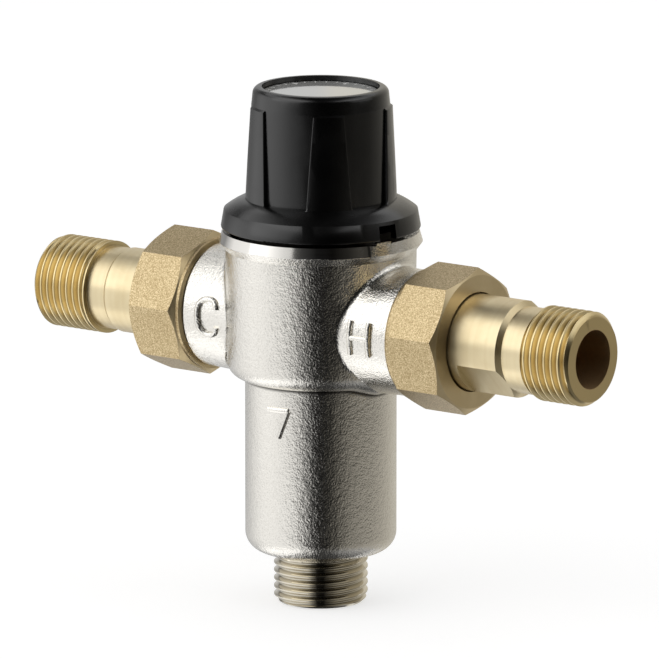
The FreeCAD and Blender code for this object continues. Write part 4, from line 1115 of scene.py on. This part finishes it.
@dataclass
class UnionNut:
    """An eight-sided union nut, blasted on its flats and machined on its ends."""

    side: Side
    edge: float = 0.16 * MM
    edge_angle: float = 20.0
    end_tilt: float = 0.2

    def build(self) -> None:
        """Copies the nut, rounds its edges and gives its ends the machined finish."""
        name, node = self.side.word + "_nut", self.side.word + "_union_nut"
        shape = copy_of_node(node)
        for face in shape.faces:
            face.material_index = int(abs(face.normal.x) > self.end_tilt)
        piece = new_piece(name, shape, NUT_BLASTED, name)
        piece.data.materials.append(NUT_MACHINED.material())
        add_bevel(piece, self.edge, self.edge_angle)
        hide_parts(node)


@dataclass
class Tailpiece:
    """A turned tailpiece with its pipe thread."""

    side: Side
    thread_start: float
    neck: float
    run_out: float = 0.0
    neck_start: float = 0.0
    neck_drop: float = 0.28 * MM
    neck_slope: float = 0.5 * MM
    skin: float = 1.0 * MM
    edge: float = 0.12 * MM
    edge_angle: float = 25.0
    end: float = 73.5 * MM
    bore: float = 6.5 * MM
    body: str = "housing"
    slot: str = "brass_turned"

    def _turn_neck(self, shape: Shape, along: Vector) -> None:
        """Turns the stretch beside the thread a little thinner than the barrel.

        Args:
            shape: The tailpiece's bmesh.
            along: Direction of its open end.
        """
        for reach in (self.neck_start, self.neck_start + self.neck_slope, self.thread_start - TINY):
            slice_at(shape, along * reach, along)
        for vert in shape.verts:
            reach = vert.co.dot(along)
            lift = Vector((vert.co.y, vert.co.z - PORT_HEIGHT))
            if self.neck_start + TINY < reach < self.thread_start - TINY / 2 \
                    and lift.length > self.bore + self.skin:
                lift *= 1.0 - self.neck_drop / lift.length
                vert.co.y, vert.co.z = lift.x, lift.y + PORT_HEIGHT

    def build(self) -> None:
        """Makes the plain barrel and the thread."""
        name, node = self.side.word + "_tail", self.side.word + "_tailpiece"
        shape = copy_of_node(node)
        along = Vector((self.side.value, 0.0, 0.0))
        if self.neck_start > 0.0:
            self._turn_neck(shape, along)
        cut_away(shape, along * self.thread_start + UP * PORT_HEIGHT, along)
        barrel = new_piece(name, shape, TAIL_BRASS, self.body)
        add_bevel(barrel, self.edge, self.edge_angle)
        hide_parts(node)
        shape = PipeThread(self.thread_start, self.end, self.bore, self.neck, run_out=self.run_out).build()
        bmesh.ops.transform(shape, matrix=self.side.onto_port(), verts=shape.verts)
        thread = new_piece(name + "_thread", shape, THREAD_BRASS, self.body)
        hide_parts(node)


@dataclass
class Knob:
    """The black setting knob and its dial label."""

    label_top: float = 115.1 * MM
    ring_inner: float = 9.9 * MM
    ring_outer: float = 12.5 * MM
    numerals: tuple[str, ...] = ("1", "2", "3", "4", "5", "6")
    numeral_size: float = 2.3 * MM
    numeral_weight: float = 0.03 * MM
    tick: tuple[float, float] = (0.22 * MM, 0.95 * MM)
    tick_inset: float = 0.85 * MM
    ticks: int = 5
    sweep: float = math.radians(300.0)
    middle: float = math.radians(216.5)
    ink_rise: float = 0.02 * MM
    skirt_low: float = 84.8 * MM
    skirt_crease: float = 89.1 * MM
    skirt_radius: float = 22.2 * MM
    crease_radius: float = 21.5 * MM
    crease_drop: float = 0.25 * MM
    foot: float = 92.3 * MM
    foot_radius: float = 16.85 * MM
    foot_drop: float = 0.95 * MM
    cone_bulge: float = 1.14 * MM
    rib_edge: float = 4.0 * MM
    rib_round: float = 0.25 * MM
    cone_cuts: int = 5
    edge_depth: float = 1.0 * MM
    edge_height: float = 0.7 * MM
    rib_angle: float = math.radians(50.0)
    smooth_angle: float = 24.0
    body: str = "dial"

    def _fit_skirt(self, shape: Shape) -> None:
        """Domes the skirt's cone and flares its band a little toward the lower edge.

        Args:
            shape: The knob's bmesh.
        """
        for index in range(1, self.cone_cuts):
            level = self.skirt_crease + (self.foot - self.skirt_crease) * (index / self.cone_cuts)
            slice_at(shape, UP * level, UP)
        span = self.skirt_radius - self.foot_radius
        low, high = self.skirt_crease - self.crease_drop, self.foot - self.foot_drop
        for vert in shape.verts:
            radius = vert.co.xy.length
            lift = vert.co.z - self.skirt_crease
            near_edge = radius > self.skirt_radius - self.edge_depth
            if abs(vert.co.z - self.foot) < TINY and radius < self.foot_radius + TINY:
                vert.co.z = high
            elif vert.co.z < self.foot + TINY and (lift > -TINY or near_edge and lift > -self.edge_height):
                share = (radius - self.foot_radius) / span
                if share < 0.0:
                    continue
                vert.co.z = high - (high - low) * share + self.cone_bulge * share * (1.0 - share)
                reach = self.foot_radius + (self.crease_radius - self.foot_radius) * share
                vert.co.xy *= reach / radius
            elif near_edge and lift <= -self.edge_height:
                share = max(vert.co.z - self.skirt_low, 0.0) / (self.skirt_crease - self.skirt_low)
                vert.co.xy *= 1.0 - (1.0 - self.crease_radius / self.skirt_radius) * share

    def shell(self) -> None:
        """Makes the knob, with softly rounded rib edges."""
        shape = copy_of_node("temperature_knob")
        self._fit_skirt(shape)
        ribs = [e for e in shape.edges if e.calc_length() > self.rib_edge and e.is_convex
                and e.calc_face_angle(0.0) > self.rib_angle]
        log.info("knob: %d rib edges", len(ribs))
        bmesh.ops.bevel(shape, geom=ribs, offset=self.rib_round, segments=3, profile=0.5, affect="EDGES",
                        clamp_overlap=True, material=-1)
        piece = new_piece("knob", shape, KNOB_BLACK, self.body, self.smooth_angle)
        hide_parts("temperature_knob")

    def _numeral(self, word: str, turn: float, shape: Shape) -> None:
        """Adds one numeral's flat outline to a bmesh.

        Args:
            word: The numeral.
            turn: Direction of its place, from the front toward the hot side.
            shape: The bmesh of the whole print.
        """
        text = bpy.data.curves.new("numeral", "FONT")
        text.body = word
        text.size = self.numeral_size
        text.align_x, text.align_y = "CENTER", "CENTER"
        text.offset = self.numeral_weight
        middle = (self.ring_inner + self.ring_outer) / 2
        add_curve(shape, text, Matrix.Translation((0.0, -middle, self.label_top)),
                  Matrix.Rotation(turn, 4, "Z"))

    def _tick(self, turn: float, shape: Shape) -> None:
        """Adds one tick to a bmesh.

        Args:
            turn: Direction of its place, from the front toward the hot side.
            shape: The bmesh of the whole print.
        """
        bar = bmesh.ops.create_grid(shape, x_segments=1, y_segments=1, size=0.5)["verts"]
        bmesh.ops.scale(shape, verts=bar, vec=(*self.tick, 1.0))
        bmesh.ops.translate(shape, verts=bar, vec=(0.0, -self.ring_outer + self.tick_inset, self.label_top))
        bmesh.ops.rotate(shape, verts=bar, cent=CENTRE, matrix=Matrix.Rotation(turn, 3, "Z"))

    def print_ring(self) -> None:
        """Makes the white numerals with ticks between them, round the label's edge."""
        shape = bmesh.new()
        gaps = len(self.numerals) - 1
        step = self.sweep / gaps
        start = self.middle - self.sweep / 2
        for index, word in enumerate(self.numerals):
            self._numeral(word, start + step * index, shape)
        for index in range(gaps * self.ticks):
            if index % self.ticks:
                self._tick(start + step * index / self.ticks, shape)
        for face in shape.faces:
            if face.normal.z < 0.0:
                face.normal_flip()
        grown = bmesh.ops.extrude_face_region(shape, geom=list(shape.faces))["geom"]
        lifted = [g for g in grown if isinstance(g, bmesh.types.BMVert)]
        bmesh.ops.translate(shape, verts=lifted, vec=UP * self.ink_rise)
        bmesh.ops.recalc_face_normals(shape, faces=shape.faces)
        new_piece("dial_print", shape, WHITE_INK, self.body)

    def build(self) -> None:
        """Makes the knob, its print and the label's finish."""
        paint_node(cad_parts["dial_label"], FOIL)
        self.shell()
        self.print_ring()


class InnerPieces:
    """The pieces inside, which stay CAD nodes with their own finishes."""

    def build(self) -> None:
        """Gives each inner node its finish."""
        for name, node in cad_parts.items():
            kind = name.removeprefix("hot_").removeprefix("cold_")
            finish = INNER_FINISHES.get(name) or INNER_FINISHES.get(kind)
            if finish is not None:
                paint_node(node, finish)


# ---------------------------------------------------------------- studio

@dataclass(frozen=True)
class Lamp:
    """A square soft box, by its angle from the camera's azimuth and its elevation in degrees."""

    name: str
    turn: float
    lift: float
    reach: float
    size: float
    watts: float


@dataclass
class Studio:
    """Pale floor, soft light and the camera.

    Metal and gloss reflect screens that nothing else sees: a round wall in three bands, whose shades
    go by degrees from the camera's azimuth, and a lid and a ground, whose shades go from the camera's
    right at 0 to its left at 1.
    """

    azimuth: float = math.radians(36.5)
    elevation: float = math.radians(11.8848)
    distance: float = 2.0
    lens: float = 492.7
    sensor: float = 36.0
    clip: tuple[float, float] = (0.1, 20.0)
    aim: float = 63.773 * MM
    slide_right: float = 1.9225 * MM
    slide_up: float = -2.3261 * MM
    daylight: float = 0.62
    floor_size: float = 14.0
    floor_level: float = -0.2 * MM
    floor_paint: float = 0.62
    floor_glow: float = 0.59
    lamp_aim: float = 60.0 * MM
    lamps: tuple[Lamp, ...] = (
        Lamp("key", turn=-62.0, lift=38.0, reach=1.0, size=1.0, watts=1.9),
        Lamp("fill", turn=75.0, lift=30.0, reach=1.5, size=1.1, watts=1.6))
    room: float = 2.5
    room_top: float = 1.8
    room_bottom: float = -2.0
    room_sides: int = 96
    wall_shades: Pairs = (
        (-180.0, 0.55), (-160.0, 0.55), (-126.0, 0.76), (-105.0, 0.94), (-42.0, 0.96), (-33.0, 0.78),
        (-26.0, 0.36), (-19.0, 0.15), (-14.0, 0.09), (-11.0, 0.014), (8.0, 0.008), (12.0, 0.04),
        (20.0, 0.075), (28.0, 0.12), (36.0, 0.19), (46.0, 0.26), (65.0, 0.32), (90.0, 0.37), (117.0, 0.44),
        (138.0, 0.52), (160.0, 0.57), (180.0, 0.55))
    upper_shades: Pairs = (
        (-180.0, 0.62), (-170.0, 0.6), (-158.0, 0.32), (-140.0, 0.3), (-127.0, 0.7), (-118.0, 1.0),
        (-88.0, 1.15), (-75.0, 1.05), (-64.0, 0.82), (-53.0, 0.5), (-43.0, 0.27), (-33.0, 0.14),
        (-24.0, 0.05), (-5.0, 0.008), (14.0, 0.004), (32.0, 0.018), (45.0, 0.045), (74.0, 0.06),
        (86.0, 0.09), (100.0, 0.18), (136.0, 0.5), (180.0, 0.72))
    high_shades: Pairs = (
        (-180.0, 0.7), (-172.0, 0.5), (-163.0, 0.12), (-135.0, 0.06), (-120.0, 0.35), (-108.0, 0.8),
        (-90.0, 1.0), (-60.0, 0.8), (-40.0, 0.25), (-20.0, 0.05), (20.0, 0.02), (60.0, 0.1), (90.0, 0.3),
        (120.0, 0.5), (150.0, 0.6), (180.0, 0.7))
    wall_fade: tuple[float, float] = (-0.44, -0.3)
    high_fade: tuple[float, float] = (1.1, 1.4)
    back_fade: tuple[float, float] = (1.1, 1.6)
    back_shade: float = 0.92
    right_tint: Colour = (1.0, 0.95, 0.84)
    tint_fade: tuple[float, float] = (2.0, 20.0)
    lid_shades: Pairs = (
        (0.0, 0.9), (0.28, 0.8), (0.34, 0.15), (0.45, 0.02), (0.55, 0.02), (0.61, 0.08), (0.7, 0.75),
        (0.8, 1.0))
    ground_shades: Pairs = (
        (0.0, 0.5), (0.3, 0.2), (0.42, 0.04), (0.58, 0.03), (0.63, 0.35), (0.70, 1.1), (1.0, 1.5))


    def _right(self) -> Vector:
        """Direction to the camera's right."""
        return Vector((math.cos(self.azimuth), math.sin(self.azimuth), 0.0))

    def _point(self, turn: float, lift: float, reach: float = 1.0) -> Vector:
        """Finds a point as seen from the origin.

        Args:
            turn: Angle from the camera's azimuth.
            lift: Elevation.
            reach: Distance.

        Returns:
            The point.
        """
        angle, flat = self.azimuth + turn, math.cos(lift) * reach
        return Vector((math.sin(angle) * flat, -math.cos(angle) * flat, math.sin(lift) * reach))

    def camera(self) -> None:
        """Sets a long lens that looks at the object."""
        back, right = self._point(0.0, self.elevation), self._right()
        lens = bpy.data.cameras.new("camera")
        lens.sensor_width = self.sensor
        lens.lens = self.lens
        lens.clip_start, lens.clip_end = self.clip
        holder = put("camera", lens)
        holder.location = (UP * self.aim + back * self.distance + right * self.slide_right
                           + back.cross(right) * self.slide_up)
        holder.rotation_euler = back.to_track_quat("Z", "Y").to_euler()
        bpy.context.scene.camera = holder

    def world(self) -> None:
        """Sets a white room that lights matte surfaces more softly than metal and camera see it."""
        world = bpy.data.worlds.new("room")
        nodes = Nodes(emptied(world))
        path = nodes.add("LightPath")
        seen = nodes.math("MAXIMUM", path["Is Camera Ray"],
                          nodes.math("MAXIMUM", path["Is Glossy Ray"], path["Is Transmission Ray"]))
        strength = nodes.blend(seen, self.daylight, 1.0)
        nodes.show(nodes.add("Background", {"Color": WHITE, "Strength": strength})[0], "OutputWorld")
        bpy.context.scene.world = world

    def floor(self) -> None:
        """Lays a pale floor that keeps the object's shadow and runs into the white room."""
        material = bpy.data.materials.new("floor_paint")
        nodes = Nodes(emptied(material))
        paint = nodes.add("BsdfDiffuse", {"Color": (self.floor_paint,) * 3})[0]
        seen = nodes.add("LightPath")["Is Camera Ray"]
        glow = nodes.add("Emission", {"Color": WHITE,
                                      "Strength": nodes.math("MULTIPLY", seen, self.floor_glow)})[0]
        nodes.show(nodes.add("AddShader", {0: paint, 1: glow})[0])
        shape = bmesh.new()
        bmesh.ops.create_grid(shape, x_segments=1, y_segments=1, size=self.floor_size / 2)
        sheet = put("floor", mesh_of("floor", shape, material))
        sheet.location = UP * self.floor_level
        sheet.visible_glossy = False

    def _hang(self, name: str, shape: Shape, shade: Callable[[Nodes], Feed]) -> None:
        """Makes a glowing screen that only metal and gloss reflect.

        Args:
            name: The screen's name.
            shape: Its bmesh, freed here.
            shade: Writes the nodes of its brightness.
        """
        material = bpy.data.materials.new(name)
        nodes = Nodes(emptied(material))
        nodes.show(nodes.add("Emission", {"Color": shade(nodes), "Strength": 1.0})[0])
        screen = put(name, mesh_of(name, shape, material))
        for ray in ("camera", "diffuse", "shadow", "transmission", "volume_scatter"):
            setattr(screen, "visible_" + ray, False)

    @staticmethod
    def _ramp(nodes: Nodes, place: Feed, stops: Sequence[tuple[float, float]]) -> Socket:
        """Writes brightness along a line.

        Args:
            nodes: Writer of the screen's material.
            place: Position along the line, from 0 to 1.
            stops: Pairs of position and brightness.

        Returns:
            The brightness.
        """
        node = nodes.node("ValToRGB", {0: place})
        elements = node.color_ramp.elements
        elements.remove(elements[1])
        elements[0].position = stops[0][0]
        for index, (position, shade) in enumerate(stops):
            element = elements.new(position) if index else elements[0]
            element.color = (shade, shade, shade, 1.0)
        return node.outputs[0]

    def _wall_glow(self, nodes: Nodes) -> Socket:
        """Writes the wall's brightness.

        Args:
            nodes: Writer of the wall's material.

        Returns:
            Its tinted brightness.
        """
        xyz = nodes.split(nodes.add("TexCoord")["Object"])
        angle = nodes.math("ARCTAN2", xyz["X"], nodes.math("MULTIPLY", xyz["Y"], -1.0))
        angle = nodes.math("SUBTRACT", angle, self.azimuth)
        angle = nodes.math("WRAP", angle, math.pi, -math.pi)
        place = nodes.math("MULTIPLY_ADD", angle, 1 / FULL_TURN, 0.5)
        lower, upper, high = (
            self._ramp(nodes, place, [(0.5 + turn / 360.0, shade) for turn, shade in shades])
            for shades in (self.wall_shades, self.upper_shades, self.high_shades))
        shade = nodes.mix(nodes.step(xyz["Z"], *self.wall_fade), lower, upper)
        shade = nodes.mix(nodes.step(xyz["Z"], *self.high_fade), shade, high)
        right = nodes.step(angle, *(math.radians(turn) for turn in self.tint_fade))
        return nodes.vector("MULTIPLY", shade, nodes.mix(right, WHITE, self.right_tint))[0]

    def _flat_glow(self, nodes: Nodes, shades: Pairs) -> Socket:
        """Writes the brightness overhead or below, with a bright zone far behind.

        Args:
            nodes: Writer of the screen's material.
            shades: Pairs of position and brightness.

        Returns:
            The brightness.
        """
        place = nodes.add("TexCoord")["Object"]
        across = nodes.vector("DOT_PRODUCT", place, -self._right())["Value"]
        side = self._ramp(nodes, nodes.math("MULTIPLY_ADD", across, 0.5 / self.room, 0.5), shades)
        depth = nodes.vector("DOT_PRODUCT", place, UP.cross(self._right()))["Value"]
        back = nodes.math("MULTIPLY", nodes.step(depth, *self.back_fade), self.back_shade)
        return nodes.math("MAXIMUM", side, back)

    def surround(self) -> None:
        """Hangs the wall, lid and ground screens round the object."""
        wall = bmesh.new()
        bmesh.ops.create_cone(wall, cap_ends=False, segments=self.room_sides, radius1=self.room,
                              radius2=self.room, depth=self.room_top - self.room_bottom)
        bmesh.ops.translate(wall, verts=wall.verts, vec=UP * ((self.room_top + self.room_bottom) / 2))
        self._hang("wall", wall, self._wall_glow)
        for name, level, shades in (("lid", self.room_top, self.lid_shades),
                                    ("ground", self.room_bottom, self.ground_shades)):
            disc = bmesh.new()
            bmesh.ops.create_circle(disc, cap_ends=True, segments=self.room_sides, radius=self.room)
            bmesh.ops.translate(disc, verts=disc.verts, vec=UP * level)
            self._hang(name, disc, partial(self._flat_glow, shades=shades))

    def light(self) -> None:
        """Hangs the soft boxes, which face the object's middle."""
        for lamp in self.lamps:
            data = bpy.data.lights.new(lamp.name, "AREA")
            data.size = lamp.size
            data.energy = lamp.watts
            holder = put(lamp.name, data)
            holder.location = self._point(math.radians(lamp.turn), math.radians(lamp.lift), lamp.reach)
            facing = holder.location - UP * self.lamp_aim
            holder.rotation_euler = facing.to_track_quat("Z", "Y").to_euler()

    def build(self) -> None:
        """Sets the whole stage."""
        self.camera()
        self.world()
        self.floor()
        self.surround()
        self.light()
        bpy.context.scene.view_settings.view_transform = "Standard"


def main() -> None:
    """Builds the stage and every sub-assembly in order."""
    logging.basicConfig(level=logging.INFO, format="%(message)s")
    Studio().build()
    InnerPieces().build()
    ValveBody().build()
    for side in Side:
        UnionNut(side).build()
    Tailpiece(Side.HOT, thread_start=60.9 * MM, neck=9.6 * MM).build()
    Tailpiece(Side.COLD, thread_start=58.69 * MM, neck=10.478 * MM, run_out=0.35 * MM,
              neck_start=53.3 * MM).build()
    Knob().build()


if __name__ == "__main__":
    main()
